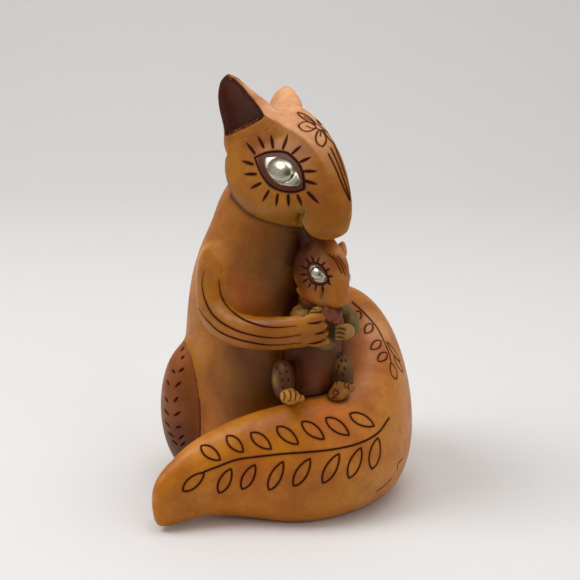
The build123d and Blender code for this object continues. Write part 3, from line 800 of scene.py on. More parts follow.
# Half widths of the incised lines and dents
HALF = {
    "lash": 0.78, "socket": 0.55, "petal": 0.34, "vein": 0.26, "stripe": 0.36, "mouth": 0.5,
    "baby_lash": 0.50, "baby_socket": 0.36, "baby_stripe": 0.26, "baby_mouth": 0.1, "paw": 0.26,
    "front_stem": 0.46, "right_stem": 0.36, "front_leaf": 0.42, "right_leaf": 0.34, "curl": 0.34,
    "haunch_cut": 0.62, "leg_cut": 0.42,
}


def even(line, half):
    """A stroke of one half width."""
    return line, np.full(len(line), half)


def swelling(*shares):
    """A profile: shares of the half width that are spaced evenly along a line."""
    places = range(len(shares))
    return lambda count: np.interp(np.linspace(0, places[-1], count), places, shares)


def seed(count):
    """A profile that is thickest in the middle, as a sine."""
    return np.sin(np.linspace(0.35, np.pi - 0.35, count))


def marks(tree, lines, count, half, profile=swelling(1.0)):
    """Strokes through lines of pixels. A line that all but misses the meshes is left out."""
    found = [pinned(tree, through(line, count)) for line in lines]
    return [(line, half * profile(len(line))) for line in found if len(line) > 2]


def leaf(tip, end, half_width):
    """A leaf's outline in pixels: two bows between its tips, fullest past the middle."""
    tip, end = np.array(tip, float), np.array(end, float)
    t = np.linspace(0, 1, 15)
    side = unit(np.array([-(end - tip)[1], (end - tip)[0]]))
    bow = half_width * (4 * t * (1 - t)) ** 0.75 * (0.86 + 0.28 * t)
    middle = tip + t[:, None] * (end - tip)
    return np.concatenate([middle + bow[:, None] * side, (middle - bow[:, None] * side)[::-1][1:]])


def leaves(tree, rows, half):
    """Leaf outlines: each leaf's two tips and its half width in pixels."""
    return [even(pinned(tree, leaf(*row)), half) for row in rows]


# The gap of points far from every stroke, and how far round a stroke gaps are worked out
WIDEST_GAP, GAP_MARGIN = 9.0, 3.0


def gap_to(points, strokes):
    """Distance from each point to the edge of the nearest stroke, below zero inside it.

    A stroke is a line of points with a half width at each, and the nearest place on each of its
    straight runs is found by projection.
    """
    found = np.full(len(points), WIDEST_GAP)
    for line, half in strokes:
        if len(line) < 2:
            continue
        low, high = line.min(0) - GAP_MARGIN, line.max(0) + GAP_MARGIN
        near = np.nonzero(((points > low) & (points < high)).all(1))[0]
        if not len(near):
            continue
        p = points[near][:, None]
        a, run = line[None, :-1], np.diff(line, axis=0)[None]
        share = np.clip(((p - a) * run).sum(2) / np.maximum((run**2).sum(2), 1e-9), 0, 1)
        away = np.linalg.norm(p - a - share[..., None] * run, axis=2)
        width = half[None, :-1] * (1 - share) + half[None, 1:] * share
        found[near] = np.minimum(found[near], (away - width).min(1))
    return found


# New triangles of one whose edges are halved, by the sum of 1, 2 and 4 for its halved edges. The
# corners are 0, 1 and 2, and the middles of the edges are 3, 4 and 5
SPLITS = {
    1: [(0, 3, 2), (3, 1, 2)], 2: [(1, 4, 0), (4, 2, 0)], 4: [(2, 5, 1), (5, 0, 1)],
    3: [(3, 1, 4), (0, 3, 4), (0, 4, 2)], 6: [(4, 2, 5), (1, 4, 5), (1, 5, 0)],
    5: [(5, 0, 3), (2, 5, 3), (2, 3, 1)], 7: [(0, 3, 5), (3, 1, 4), (5, 4, 2), (3, 4, 5)],
}


def refined(points, faces, gaps, band, longest):
    """Splits the edges near the strokes, with new points on the curve that the normals give."""
    normals = normals_of(points, faces)
    pairs = np.sort(np.concatenate([faces[:, [0, 1]], faces[:, [1, 2]], faces[:, [2, 0]]]), axis=1)
    edges, where = np.unique(pairs, axis=0, return_inverse=True)
    run = points[edges[:, 1]] - points[edges[:, 0]]
    marked = (gaps[edges].min(1) < band) & (np.linalg.norm(run, axis=1) > longest)
    if not marked.any():
        return points, faces
    fresh = np.full(len(edges), -1)
    fresh[marked] = len(points) + np.arange(marked.sum())
    d = run[marked]
    n0, n1 = normals[edges[marked, 0]], normals[edges[marked, 1]]
    middle = points[edges[marked]].mean(1)
    bend = ((d * n1).sum(1, keepdims=True) * n1 - (d * n0).sum(1, keepdims=True) * n0) / 8
    points = np.concatenate([points, middle + bend])
    cut = fresh[where.reshape(3, -1).T]
    code = ((cut >= 0) * np.array([1, 2, 4])).sum(1)
    whole = np.concatenate([faces, cut], axis=1)
    parts = [faces[code == 0]]
    for key, triangles in SPLITS.items():
        chosen = whole[code == key]
        parts += [chosen[:, list(t)] for t in triangles]
    return points, np.concatenate(parts)


# Clay pieces


def linear(colour):
    """An sRGB hex value as linear red, green and blue."""
    value = np.array([int(colour[i:i + 2], 16) for i in (1, 3, 5)]) / 255
    return np.where(value <= 0.04045, value / 12.92, ((value + 0.055) / 1.055) ** 2.4)


# The meshes that pixels are aimed at, by node
trees = {}
# Every form by its name, and by its side where it has one. The first builder fills it
all_forms = {}


def listed(names):
    """The forms by these names. A name without its side stands for both sides."""
    forms = []
    for name in names:
        for key in [name] if name in all_forms else [(name, side) for side in SIDE_NAMES]:
            found = all_forms[key]
            forms += found if isinstance(found, list) else [found]
    return forms


def valued(table):
    """The forms of a table's names, each with its name's value."""
    return [(form, value) for name, value in table.items() for form in listed([name])]


def airbrushed_slip_light_and_shade(points, base, tree, clouds):
    """Base colour with soft clouds over it, each of which fades as a bell does. The clouds are slip,
    and on some pieces painted shade and a painted highlight.

    A cloud is a place, a radius in millimetres, a colour and a strength. A place of two numbers is
    a pixel, at which the airbrush is aimed from the photograph's camera.
    """
    colour = each(base, points)
    for place, radius, tint, strength in clouds:
        if len(place) == 2:
            spots = pinned([tree], [place])
            spots = spots if len(spots) else pinned(trees.values(), [place])
            if not len(spots):
                continue
            place = spots[0]
        away = ((points - np.array(place)) ** 2).sum(1) / radius**2
        share = (strength * np.exp(-away))[:, None]
        colour = colour * (1 - share) + linear(tint) * share
    return colour


def forehead(points):
    """Share of the panel above the mother's brow ridge.

    It rises from 0 to 1 over 0.9 mm at the ridge, and fades at the nape and down the snout.
    """
    ahead, up, _ = MOTHER.lengths(points)
    ahead_share = ahead / MOTHER.size[0]
    ridge = np.interp(ahead_share, MOTHER.stations[:, 0], MOTHER.stations[:, 3] * MOTHER.size[1])
    over = smooth((up - ridge + 0.4) / 0.9)
    return over * smooth((0.50 - ahead_share) / 0.55) * smooth((ahead_share + 0.36) / 0.12)


def write_mesh(name, points, faces, attributes):
    """A smooth-shaded mesh object from whole arrays, in metres."""
    mesh = bpy.data.meshes.new(name)
    mesh.vertices.add(len(points))
    mesh.vertices.foreach_set("co", (points * METRE).astype(np.float32).ravel())
    mesh.loops.add(faces.size)
    mesh.loops.foreach_set("vertex_index", faces.astype(np.int32).ravel())
    mesh.polygons.add(len(faces))
    mesh.polygons.foreach_set("loop_start", np.arange(0, faces.size, 3, dtype=np.int32))
    mesh.polygons.foreach_set("use_smooth", np.ones(len(faces), bool))
    mesh.update(calc_edges=True)
    for key, values in attributes.items():
        kind = "FLOAT_VECTOR" if values.ndim == 2 else "FLOAT"
        layer = mesh.attributes.new(key, kind, "POINT")
        field = "vector" if values.ndim == 2 else "value"
        layer.data.foreach_set(field, values.astype(np.float32).ravel())
    mesh.validate()
    obj = bpy.data.objects.new(name, mesh)
    bpy.context.scene.collection.objects.link(obj)
    return obj


def dressed(piece, node, material):
    """A piece that takes its node's place, slot and a material."""
    piece.data.materials.append(material)
    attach(piece, "root")
    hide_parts(node)
    return piece


# Near lines, edges longer than these are halved, one after the other, within this band
FINE_EDGES, FINE_BAND = (0.62, 0.34), 0.9
# Where the wall of a groove and that of a dent start inside the line's edge, and their widths
GROOVE_WALL, DENT_WALL = (0.40, 0.5), (0.5, 1.7)
# How far a hollow's colour reaches beyond it, on a head and on an ear, and over what it fades
BOWL_RIMS, BOWL_EDGE = (0.35, 1.0), 0.45
# A dent counts as this much farther off than a line, so that its halo is faint and it has no ink
DENT_CLEAR = 0.8


def sunk(gaps, wall):
    """Share of the full depth at a gap from a line's edge, an S across the wall."""
    inside, width = wall
    return 1 - smooth((gaps + inside) / width)


def clay_piece(node, names, neighbours, material, strokes_of=None, clouds=(), stain_and_shade_folds=None,
               dents_of=None, hollows=(), panel=None, washes_of=None):
    """One piece of clay: its forms melted together and into their neighbours, incised, painted.

    Neighbours are forms by name, each with the softness of its join. Folds are those in whose
    corner a dark stain and painted shade stay, each with its reach. Strokes are thin and inked,
    dents are wide and keep the colour of their place. Their depth is taken off along the normals.
    """
    sizes = bpy.context.scene.squirrel_sizes
    forms, parts = listed(names), []
    for form in forms:
        points, faces = closed_grid(form.surface)
        inner = [(other, sizes.digit_melt / METRE) for other in forms if other is not form]
        points = melted(points, faces, form, inner + valued(neighbours), hollows)
        parts.append((points, faces))
    points, faces = joined(parts)
    tree = BVHTree.FromPolygons(points.tolist(), faces.tolist())
    trees[node] = tree
    strokes = strokes_of([tree]) if strokes_of else []
    dents = dents_of([tree]) if dents_of else []
    for longest in FINE_EDGES:
        close = gap_to(points, strokes)
        for hollow in hollows:
            close = np.minimum(close, np.abs(hollow.depth(points)) + 0.5)
        points, faces = refined(points, faces, close, FINE_BAND, longest)
    gaps = gap_to(points, strokes)
    wide_gaps = gap_to(points, dents)
    groove = (
        sizes.groove_depth / METRE * sunk(gaps, GROOVE_WALL)
        + sizes.dent_depth / METRE * sunk(wide_gaps, DENT_WALL)
    )
    points = points - normals_of(points, faces) * groove[:, None]
    points[:, 2] = np.maximum(points[:, 2], 0)
    # Dark stain and painted shade in the corners of the folds, within each one's reach
    fold = np.zeros(len(points))
    for form, reach in valued(stain_and_shade_folds or {}):
        fold = np.maximum(fold, smooth(1 - np.abs(form.depth(points)) / reach))
    bowl, rim = np.zeros(len(points)), BOWL_RIMS[forms[0].carved]
    for hollow in hollows:
        bowl = np.maximum(bowl, smooth((rim - hollow.depth(points)) / BOWL_EDGE))
    base = SLIPS[node]
    base = linear(base) if base.startswith("#") else getattr(sizes, base)
    # Slip colour, with clouds of painted shade and a painted highlight on some pieces
    slip = airbrushed_slip_light_and_shade(points, base, tree, clouds)
    layers = [(panel[0](points), panel[1])] if panel else []
    layers += [(strength * (1 - smooth(gap_to(points, lines) / reach)), tint)
               for lines, tint, reach, strength in (washes_of([tree]) if washes_of else [])]
    for share, tint in layers:
        slip = slip * (1 - share[:, None]) + linear(tint) * share[:, None]
    slip = slip * (1 - bowl[:, None]) + linear(EAR_HOLLOW_COLOUR) * bowl[:, None]
    piece = write_mesh(node + "_clay", points, faces, {
        "line_gap": np.minimum(gaps, wide_gaps + DENT_CLEAR), "fold": fold, "slip": slip,
    })
    return dressed(piece, node, material)


def add_node(tree, kind, inputs=None, **settings):
    """One node with its settings. An input is a value, or the output of another node."""
    made = tree.nodes.new(kind)
    for key, value in settings.items():
        setattr(made, key, value)
    for key, value in (inputs or {}).items():
        if isinstance(value, bpy.types.NodeSocket):
            tree.links.new(value, made.inputs[key])
        else:
            made.inputs[key].default_value = value
    return made


def rgba(colour):
    """A hex colour as the four linear numbers of a node's socket."""
    return (*linear(colour), 1.0)


def mixed(tree, share, first, second, **settings):
    """A colour between two, by a share."""
    return add_node(tree, "ShaderNodeMix", {"Factor": share, "A": first, "B": second},
                    data_type="RGBA", **settings).outputs["Result"]


def ranged(tree, value, start, end, low, high, kind="LINEAR"):
    """A value's way from start to end as a way from low to high."""
    return add_node(tree, "ShaderNodeMapRange", {
        "Value": value, "From Min": start, "From Max": end, "To Min": low, "To Max": high,
    }, interpolation_type=kind).outputs["Result"]


def noise(tree, size, detail, roughness=0.5):
    """Noise with clouds of a size in metres."""
    place = add_node(tree, "ShaderNodeTexCoord").outputs["Object"]
    return add_node(tree, "ShaderNodeTexNoise", {
        "Vector": place, "Scale": 1 / size, "Detail": detail, "Roughness": roughness,
    }).outputs["Fac"]


def attribute(tree, name, output="Fac"):
    """A mesh attribute."""
    return add_node(tree, "ShaderNodeAttribute", attribute_name=name).outputs[output]


def new_material(name, shade):
    """A material whose shader's inputs are what a function of its node tree gives."""
    material = bpy.data.materials.new(name)
    material.use_nodes = True
    tree = material.node_tree
    tree.nodes.clear()
    shader = add_node(tree, "ShaderNodeBsdfPrincipled", shade(tree))
    add_node(tree, "ShaderNodeOutputMaterial", {"Surface": shader.outputs["BSDF"]})
    return material


def clay_material(name, mottle, stain_and_shade_strength, roughness):
    """Slip over fired earthenware, rubbed with a dark stain and sealed with satin lacquer.

    The airbrushed slip clouds slightly over 12 mm and 2.5 mm, a dark stain and painted shade stay in
    folds, the stain stays in the incised lines, and brush-sized unevenness of 12 mm moves the sheen.
    """
    def shade(tree):
        slip = attribute(tree, "slip", "Vector")
        gap, fold = attribute(tree, "line_gap"), attribute(tree, "fold")
        cloud, grain = noise(tree, 0.012, 3.0, 0.55), noise(tree, 0.0025, 2.0, 0.6)
        darker = mixed(tree, 1.0, slip, rgba("#c9a27c"), blend_type="MULTIPLY")
        tone = mixed(tree, ranged(tree, cloud, 0.35, 0.72, 0.0, mottle, "SMOOTHSTEP"), slip, darker)
        tone = mixed(tree, ranged(tree, grain, 0.30, 0.75, 0.0, 0.35), tone, darker)
        # Dark stain and painted shade in the folds
        stain_and_shade_share = add_node(tree, "ShaderNodeMath", {0: fold, 1: stain_and_shade_strength}, operation="MULTIPLY")
        tone = mixed(tree, stain_and_shade_share.outputs[0], tone, rgba("#3f1c08"))
        halo = ranged(tree, gap, 0.0, 0.9, 0.38, 0.0, "SMOOTHSTEP")
        tone = mixed(tree, halo, tone, rgba("#6b2f0e"))
        ink = ranged(tree, gap, -0.16, 0.12, 0.96, 0.0, "SMOOTHSTEP")
        bump = add_node(tree, "ShaderNodeBump", {
            "Height": cloud, "Strength": 0.20, "Distance": 0.0008})
        return {
            "Base Color": mixed(tree, ink, tone, rgba("#2c1008")),
            "Roughness": ranged(tree, cloud, 0.3, 0.7, roughness - 0.05, roughness + 0.07),
            "IOR": 1.5,
            "Specular IOR Level": ranged(tree, gap, -0.16, 0.3, 0.02, 0.25),
            "Normal": bump.outputs["Normal"],
        }

    return new_material(name, shade)


def lustre_material(name):
    """Platinum lustre fired over the glaze: a thin bright metal, cloudy over 3 mm.

    A dark stain and painted shade stay round the dome and at the lids.
    """
    def shade(tree):
        cloud = noise(tree, 0.003, 3.0)
        tone = mixed(tree, cloud, rgba("#cbc7b6"), rgba("#979280"))
        return {
            "Base Color": mixed(tree, attribute(tree, "fold"), tone, rgba("#2e261b")),
            "Metallic": 1.0,
            "Roughness": ranged(tree, cloud, 0.3, 0.7, 0.20, 0.32),
        }

    return new_material(name, shade)


# Each material's maker, and for clay its clouds, its stain and painted shade, and its roughness
MATERIALS = {
    "ochre_slip_on_earthenware": (clay_material, 0.55, 0.85, 0.40),
    "brown_slip_on_earthenware": (clay_material, 0.6, 0.9, 0.44),
    "rose_slip_on_earthenware": (clay_material, 0.6, 0.9, 0.45),
    "platinum_lustre": (lustre_material,),
}


def material_named(name):
    """A material, made once."""
    maker, *settings = MATERIALS[name]
    return bpy.data.materials.get(name) or maker(name, *settings)


# The eyes

# Upper and lower lids from the back corner to the front one, in pixels: lustre, then socket
EYE_LIDS = (
    [(264.4, 160), (266.5, 156.6), (275.3, 155), (284.4, 157.4), (291.6, 163.6), (297, 171),
     (300.2, 178.6), (301.8, 185)],
    [(264.4, 160), (265.3, 167), (267.4, 174), (270.4, 180.6), (276, 184.4), (284, 186.2),
     (292.5, 186.8), (301.8, 185)],
)
SOCKET_LIDS = (
    [(254.8, 157.6), (265, 153.2), (275.3, 151.6), (286, 152.6), (295, 159.6), (301, 168.5),
     (303.6, 178.5), (304, 189)],
    [(254.8, 157.6), (258, 167), (263, 177), (270.6, 185.6), (280, 190.4), (290, 192.2),
     (297, 191.6), (304, 189)],
)
DOME_PIXEL = (281.6, 170.2)
DOME_RADII, DOME_RISE = (13.2, 12.4), 2.3
BABY_EYE_LIDS = (
    [(309.6, 267), (312, 264.8), (316, 265), (320, 267.6), (323.4, 271.6), (325.8, 276),
     (327, 280)],
    [(309.6, 267), (309.4, 271.5), (310.6, 276.5), (313.6, 280.6), (318, 282.6), (322.6, 282.4),
     (327, 280)],
)
BABY_SOCKET_LIDS = (
    [(307.6, 265), (311.6, 262.8), (316.6, 263), (321.6, 266), (325.4, 271), (327.8, 276.4),
     (328.8, 281)],
    [(307.6, 265), (307.4, 271.8), (309, 278.2), (312.6, 283), (318, 284.8), (323.6, 284.4),
     (328.8, 281)],
)
BABY_DOME_PIXEL = (316.8, 273.2)
BABY_DOME_RADII, BABY_DOME_RISE = (6.2, 6.4), 1.1


# A ray's first point by its distance from the camera, its steps, and the share that a step goes
RAY_START, RAY_STEPS, RAY_SHARE = CAMERA_DISTANCE - 60.0, 60, 0.85


def met(form, pixels):
    """Where the camera's rays through pixels meet a form, by steps of the distance to it."""
    place, aim = ray(np.asarray(pixels, float))
    points = place + aim * RAY_START
    for _ in range(RAY_STEPS):
        points = points + form.depth(points)[:, None] * aim * RAY_SHARE
    return points


def aimed(clouds, forms):
    """Clouds with their pixels turned into the nearest place on any of the forms."""
    placed = []
    for pixel, *rest in clouds:
        spots = [spot for form in forms for spot in met(form, [pixel])
                 if abs(form.depth(spot[None])[0]) < 1]
        if spots:
            placed.append((min(spots, key=lambda spot: spot[1]), *rest))
    return placed


def mirrored(points, head):
    """Points on the head's other cheek."""
    off = (points - head.centre) @ head.out
    return points - 2 * off[..., None] * head.out


# Points along the lids and between them
EYE_GRID = (56, 34)
# The eye's unit of height is its dome's rise over the first number. In that unit: the margin's
# rise, how far below the cheek it starts, and the depth of the groove round the dome
RISE_OVER_STAND, MARGIN_RISE, MARGIN_START, RING_DEPTH = 2.3, 0.8, 0.3, 0.2
# Up to where the margin rises, the back sheet sinks and the stain and painted shade reach, from 0
# at the lids to 1 midway between them
MARGIN_WIDTH, BACK_WIDTH, STAIN_AND_SHADE_WIDTH = 0.55, 0.5, 0.16
# The groove's place and width as shares of the dome's radius, and how far the back sheet is inside
RING_PLACE, RING_WIDTH, BACK_DEPTH = 1.03, 0.06, 0.35
# How strong the stain and painted shade are in the groove and at the lids
RING_STAIN_AND_SHADE, LID_STAIN_AND_SHADE = 0.7, 0.6


def eye_piece(node, head, tree, lids, dome_pixel, dome_radii, rise, side, material):
    """A pillow of lustre between two lids, with a dome, and a back sheet inside the cheek.

    The front sheet runs from the upper to the lower lid on the cheek. It stands off the cheek by
    a margin that rises from the lids, and by the height of a cap of a ball at the dome.
    """
    columns, rows = EYE_GRID
    upper, lower = through(lids[0], columns), through(lids[1], columns)
    y = np.linspace(0, 1, rows)[None, :, None]
    pixels = upper[:, None] * (1 - y) + lower[:, None] * y
    cheek = pinned([tree], pixels.reshape(-1, 2)).reshape(columns, rows, 3)
    normal = unit(np.cross(cheek[30, 5] - cheek[20, 20], cheek[40, 20] - cheek[20, 5]))
    out = normal if normal @ head.out > 0 else -normal
    away = np.linalg.norm((pixels - dome_pixel) / dome_radii, axis=2)
    stand = rise / RISE_OVER_STAND
    x = np.linspace(0, 1, columns)[:, None]
    edge = np.minimum(4 * x * (1 - x), 4 * y[..., 0] * (1 - y[..., 0]))
    margin = MARGIN_RISE * smooth(edge / MARGIN_WIDTH) - MARGIN_START
    high = stand * margin + rise * np.sqrt(np.clip(1 - away**2, 0, 1))
    ring = np.exp(-((away - RING_PLACE) / RING_WIDTH) ** 2)
    high = high - RING_DEPTH * stand * ring
    front = cheek + high[..., None] * out
    back = cheek - (BACK_DEPTH + stand * smooth(edge / BACK_WIDTH))[..., None] * out
    # Dark stain and painted shade in the groove round the dome and along the lids
    fold = np.maximum(RING_STAIN_AND_SHADE * ring, smooth(1 - edge / STAIN_AND_SHADE_WIDTH) * LID_STAIN_AND_SHADE)
    stack = np.concatenate([front, back[:, ::-1][:, 1:-1]], axis=1)
    shade = np.concatenate([fold, fold[:, ::-1][:, 1:-1]], axis=1)
    if side == FAR:
        stack = mirrored(stack, head)
    points, faces = closed_grid(stack)
    shade = np.concatenate([shade.ravel(), [1.0, 1.0]])
    piece = write_mesh(node + "_lustre", points, faces, {"fold": shade})
    return dressed(piece, node, material)


def both_cheeks(strokes, head):
    """Strokes and their mirror images."""
    return strokes + [(mirrored(line, head), half) for line, half in strokes]


# Lashes round the mother's eye, outer end then inner end, in pixels
LASHES = [
    ((246.6, 143), (254.6, 153.6)), ((258, 136.6), (263.6, 147.4)), ((271, 135.4), (273, 147.6)),
    ((287.6, 135), (283, 148.6)), ((301, 146), (292.4, 153.4)), ((310.6, 157.4), (300.4, 162)),
    ((316.4, 171.4), (304.4, 171.4)), ((317, 184.4), (305, 181)), ((318.6, 203.4), (308, 192.6)),
    ((302, 206), (297.6, 195.6)), ((288.6, 206), (288.2, 195.2)), ((276, 206), (277.6, 194.8)),
    ((262.4, 201.4), (268.6, 191.2)), ((250.4, 188.4), (260.6, 183.4)),
    ((244, 174.2), (256, 174.2)), ((242, 161), (252.8, 164.4)),
]
BABY_LASHES = [
    ((298.7, 275), (306.6, 274.2)), ((299.8, 265.3), (306.4, 268.6)),
    ((304.8, 257.6), (309.4, 263)), ((311.4, 255.3), (313.6, 261.8)),
    ((319.2, 257), (317.2, 262.4)), ((325.3, 262), (321.8, 265.4)),
    ((329.8, 268.7), (326, 270.8)), ((333, 276.4), (328.4, 276.4)),
    ((330.9, 284.8), (327.4, 282)), ((322.6, 291.4), (322.4, 286)), ((315, 290.9), (316, 285.6)),
    ((308, 287.6), (310.6, 283.6)), ((301.4, 282.6), (307.4, 279.4)),
]
# Slip of the lid ring, between lustre and socket
LID_COLOUR = "#431708"
# A lash is thin at its outer end and full towards the inner one
LASH = swelling(0.25, 0.85, 1.0, 0.75)


def lid_wash(tree, lids, sockets, head, half, reach):
    """A dark ring of slip between an eye's lids and its socket, on both cheeks."""
    rings = [even(pinned(tree, through(a, 30) * 0.6 + through(b, 30) * 0.4), half)
             for a, b in zip(lids, sockets)]
    return both_cheeks(rings, head), LID_COLOUR, reach, 0.95


# The flower on the mother's brow: petals as base, tip and half width, its heart, and stripes
PETALS = [
    ((315.6, 123.8), (297.6, 112.4), 2.1), ((316, 127.4), (298.6, 125.6), 4.8),
    ((319.4, 129.6), (322.4, 146.6), 5.2), ((323.6, 129.6), (336.6, 144.4), 2),
    ((321.6, 124.4), (317.4, 119.6), 1),
]
PETAL_VEINS = [
    [(316, 128.6), (311, 128), (306.6, 126)], [(320.4, 130.6), (320.6, 136)],
    [(314, 122.4), (304, 116.4)],
]
FLOWER_HEART = [
    (315.6, 123.8), (319, 125), (322.4, 128.4), (323, 130), (319.4, 129.6), (316, 127.4),
    (315, 125), (315.6, 123.8),
]
STRIPES = [
    [(334, 144), (341, 162), (348, 183), (350.5, 200)],
    [(331, 148), (339, 166), (346, 186), (350, 200)],
    [(328.6, 154), (336, 169), (343, 186), (349.5, 200)],
]


def mother_head_strokes(tree):
    """Lashes, eye sockets, the flower and the stripes."""
    strokes = marks(tree, LASHES, LASH_POINTS, HALF["lash"], LASH)
    strokes += marks(tree, SOCKET_LIDS, LID_POINTS, HALF["socket"])
    return (
        both_cheeks(strokes, MOTHER) + leaves(tree, PETALS, HALF["petal"])
        + marks(tree, [*PETAL_VEINS, FLOWER_HEART], LINE_POINTS, HALF["vein"])
        + marks(tree, STRIPES, LINE_POINTS, HALF["stripe"])
    )


MOUTH = [(303, 213), (300.6, 217), (299.6, 221), (299, 226)]
BABY_MOUTH = [(322.4, 290), (322, 294), (320.6, 299)]


def mouth_dents(tree, pixels, head, half):
    """The corner of the mouth, on both cheeks."""
    return both_cheeks([even(pinned(tree, through(pixels, LINE_POINTS)), half)], head)


BABY_STRIPES = [
    [(328.7, 254), (336, 262), (342, 273)], [(337.6, 256.4), (344, 265), (348.7, 276.4)],
    [(333.4, 256), (340.4, 264), (345.6, 275)],
]


def baby_head_strokes(tree):
    """Lashes, eye sockets, and stripes on the brow."""
    strokes = marks(tree, BABY_LASHES, LASH_POINTS, HALF["baby_lash"], LASH)
    strokes += marks(tree, BABY_SOCKET_LIDS, LID_POINTS, HALF["baby_socket"])
    return both_cheeks(strokes, BABY) + marks(
        tree, BABY_STRIPES, LINE_POINTS, HALF["baby_stripe"])


# The front sprig: its stem, and leaves as stem end, tip and half width in pixels
FRONT_STEM = [
    (204, 472), (217, 467), (236, 460), (256, 457), (283, 454), (310, 452), (336, 449),
    (360, 443), (378, 433), (389, 418),
]
FRONT_LEAVES = [
    ((204, 473), (183, 491), 5.4), ((220, 460), (201, 446), 5.4), ((243, 452), (227, 436), 5.4),
    ((271, 449), (251, 433), 5.6), ((298, 444), (277, 427), 5.6), ((324, 439), (302, 422), 5.6),
    ((349, 435), (326, 418), 5.6), ((374, 426), (350, 414), 5.4), ((231, 469), (219, 493), 5.4),
    ((255, 465), (242, 489), 5.4), ((283, 462), (269, 490), 5.4), ((310, 459), (294, 486), 5.6),
    ((339, 454), (323, 483), 5.4), ((361, 448), (349, 478), 5.4), ((378, 438), (372, 469), 5.2),
]
RIGHT_STEM = [(352, 302), (361, 310), (370, 319), (378, 329), (384, 341), (389, 353), (391, 362)]
RIGHT_LEAVES = [
    ((355, 322), (359, 311), 3.9), ((365, 333), (372, 324), 3.9), ((371, 349), (381, 341), 3.9),
    ((378, 361), (387, 353), 3.9), ((391, 363), (396, 379), 3), ((387, 342), (400, 361), 1.6),
    ((394, 356), (403, 372), 1.6),
]
LOW_CURLS = [[(402, 459), (398, 464), (397, 470)], [(391, 479), (384, 486), (377, 491)]]


def tail_strokes(tree):
    """Two sprigs: stems and leaf outlines."""
    return (
        marks(tree, [FRONT_STEM], STEM_POINTS, HALF["front_stem"])
        + marks(tree, [RIGHT_STEM], LID_POINTS, HALF["right_stem"])
        + leaves(tree, FRONT_LEAVES, HALF["front_leaf"])
        + leaves(tree, RIGHT_LEAVES, HALF["right_leaf"])
        + marks(tree, LOW_CURLS, LINE_POINTS, HALF["curl"])
    )


ARM_LINES = [
    [(204, 271), (202, 284), (205, 300), (213, 315), (227, 326), (247, 334), (274, 338),
     (301, 335)],
    [(219, 280), (221, 295), (229, 308), (243, 319), (260, 325.6), (276, 327.6), (296, 326)],
    [(198, 308), (207, 320), (220, 332), (240, 340), (263, 344.6), (280, 345), (301, 343)],
]
FINGER_LINES = [
    [(308, 323.8), (316, 323), (323.4, 320.6)], [(315, 334.4), (321, 333), (328.4, 330.4)],
    [(308, 344), (317, 342.8), (325.6, 339.6)],
]


def tapered_lines(tree, lines):
    """Lines that swell from both ends to 0.46 mm of half width."""
    return marks(tree, lines, ARM_POINTS, 1.0, swelling(0.16, 0.46, 0.46, 0.16))


# Pairs of seed-shaped cuts down a haunch, left and right of a column, as pixels
HAUNCH_PAIRS = [
    ((184, 347), (181, 351)), ((184, 356), (181, 359)), ((184, 368), (179, 372)),
    ((181, 382), (175, 387)), ((178, 397), (174, 402)), ((180, 412), (174, 416)),
    ((181, 426), (176, 428)), ((184, 435), (179, 439)), ((185, 442), (181, 446)),
    ((172, 370), (175, 373)), ((167, 380), (169, 385)), ((165, 397), (168, 402)),
    ((164, 409), (169, 415)), ((165, 421), (170, 427)), ((168, 432), (174, 437)),
    ((172, 440), (178, 445)),
]
LEG_PAIRS = [
    ((276, 366), (278, 369)), ((284, 363), (286, 366)), ((279, 372), (281, 375)),
    ((286, 370), (288, 373)), ((281, 379), (283, 382)), ((288, 378), (289, 381)),
    ((282, 386), (284, 389)), ((271, 379), (270, 382)), ((269, 385), (268, 388)),
    ((338, 355), (337, 358)), ((341, 359), (342, 362)), ((339, 365), (338, 368)),
    ((337, 370), (336, 373)), ((344, 367), (345, 370)), ((342, 373), (343, 376)),
    ((345, 359), (346, 362)), ((341, 352), (342, 355)),
]
TOE_LINES = [
    [(289, 390), (291, 394), (289.6, 401)], [(294, 389.4), (296, 393), (295, 400)],
    [(299.4, 390.4), (300.8, 393), (300.6, 398)], [(283.6, 392), (285, 396), (283, 401)],
    [(339.6, 376.4), (338, 380), (336.6, 384)], [(344, 378), (344.4, 383), (346, 388)],
    [(334.4, 380), (333.4, 383), (331.6, 386)], [(348.6, 382), (348.4, 386), (349, 390)],
]
PAD_RING = [(335.6, 389.8), (338.4, 392.4), (335.8, 395.4), (332.8, 392.8), (335.6, 389.8)]
PAD_MARK = [(332.4, 398.4), (334.6, 397), (336.6, 398.6)]
PAW_LINES = [
    [(303, 313.6), (310, 312.4), (322, 312.2)], [(302, 309.8), (308, 309), (316, 309.4)],
    [(338, 328), (342, 328.4), (345, 329.6)], [(337.6, 332.4), (341, 333), (344.4, 334)],
    [(338.4, 337), (341, 337.4), (344, 338)],
]


# Slips, with clouds of painted shade and painted highlight

EAR_HOLLOW_COLOUR = "#52200e"
BROWN, OLIVE, UMBER = "#7a400f", "#6e4a12", "#54260c"
# Base slip of each piece: its hex value, or the name of its colour in the panel
SLIPS = {
    "mother_body": "body_slip", "mother_head": "head_slip", "mother_ear_right": "head_slip",
    "mother_ear_left": "#d49058", "mother_arm_right": "head_slip", "mother_arm_left": "head_slip",
    "mother_hand_right": "head_slip", "mother_hand_left": "head_slip",
    "mother_haunch_right": "haunch_slip", "mother_haunch_left": "haunch_slip",
    "tail": "tail_slip", "baby_body": "#5e3208", "baby_head": "#a86014",
    "baby_ear_right": "#5c2c10", "baby_ear_left": "#c98442",
    "baby_arm_right": "#86602a", "baby_arm_left": "#7c6a3a",
    "baby_hand_right": "#a98444", "baby_hand_left": "#a98444",
    "baby_leg_right": "#52300c", "baby_leg_left": "#52300c",
    "baby_foot_right": "#b98236", "baby_foot_left": "#94601e", "nut": "#7a4228",
}
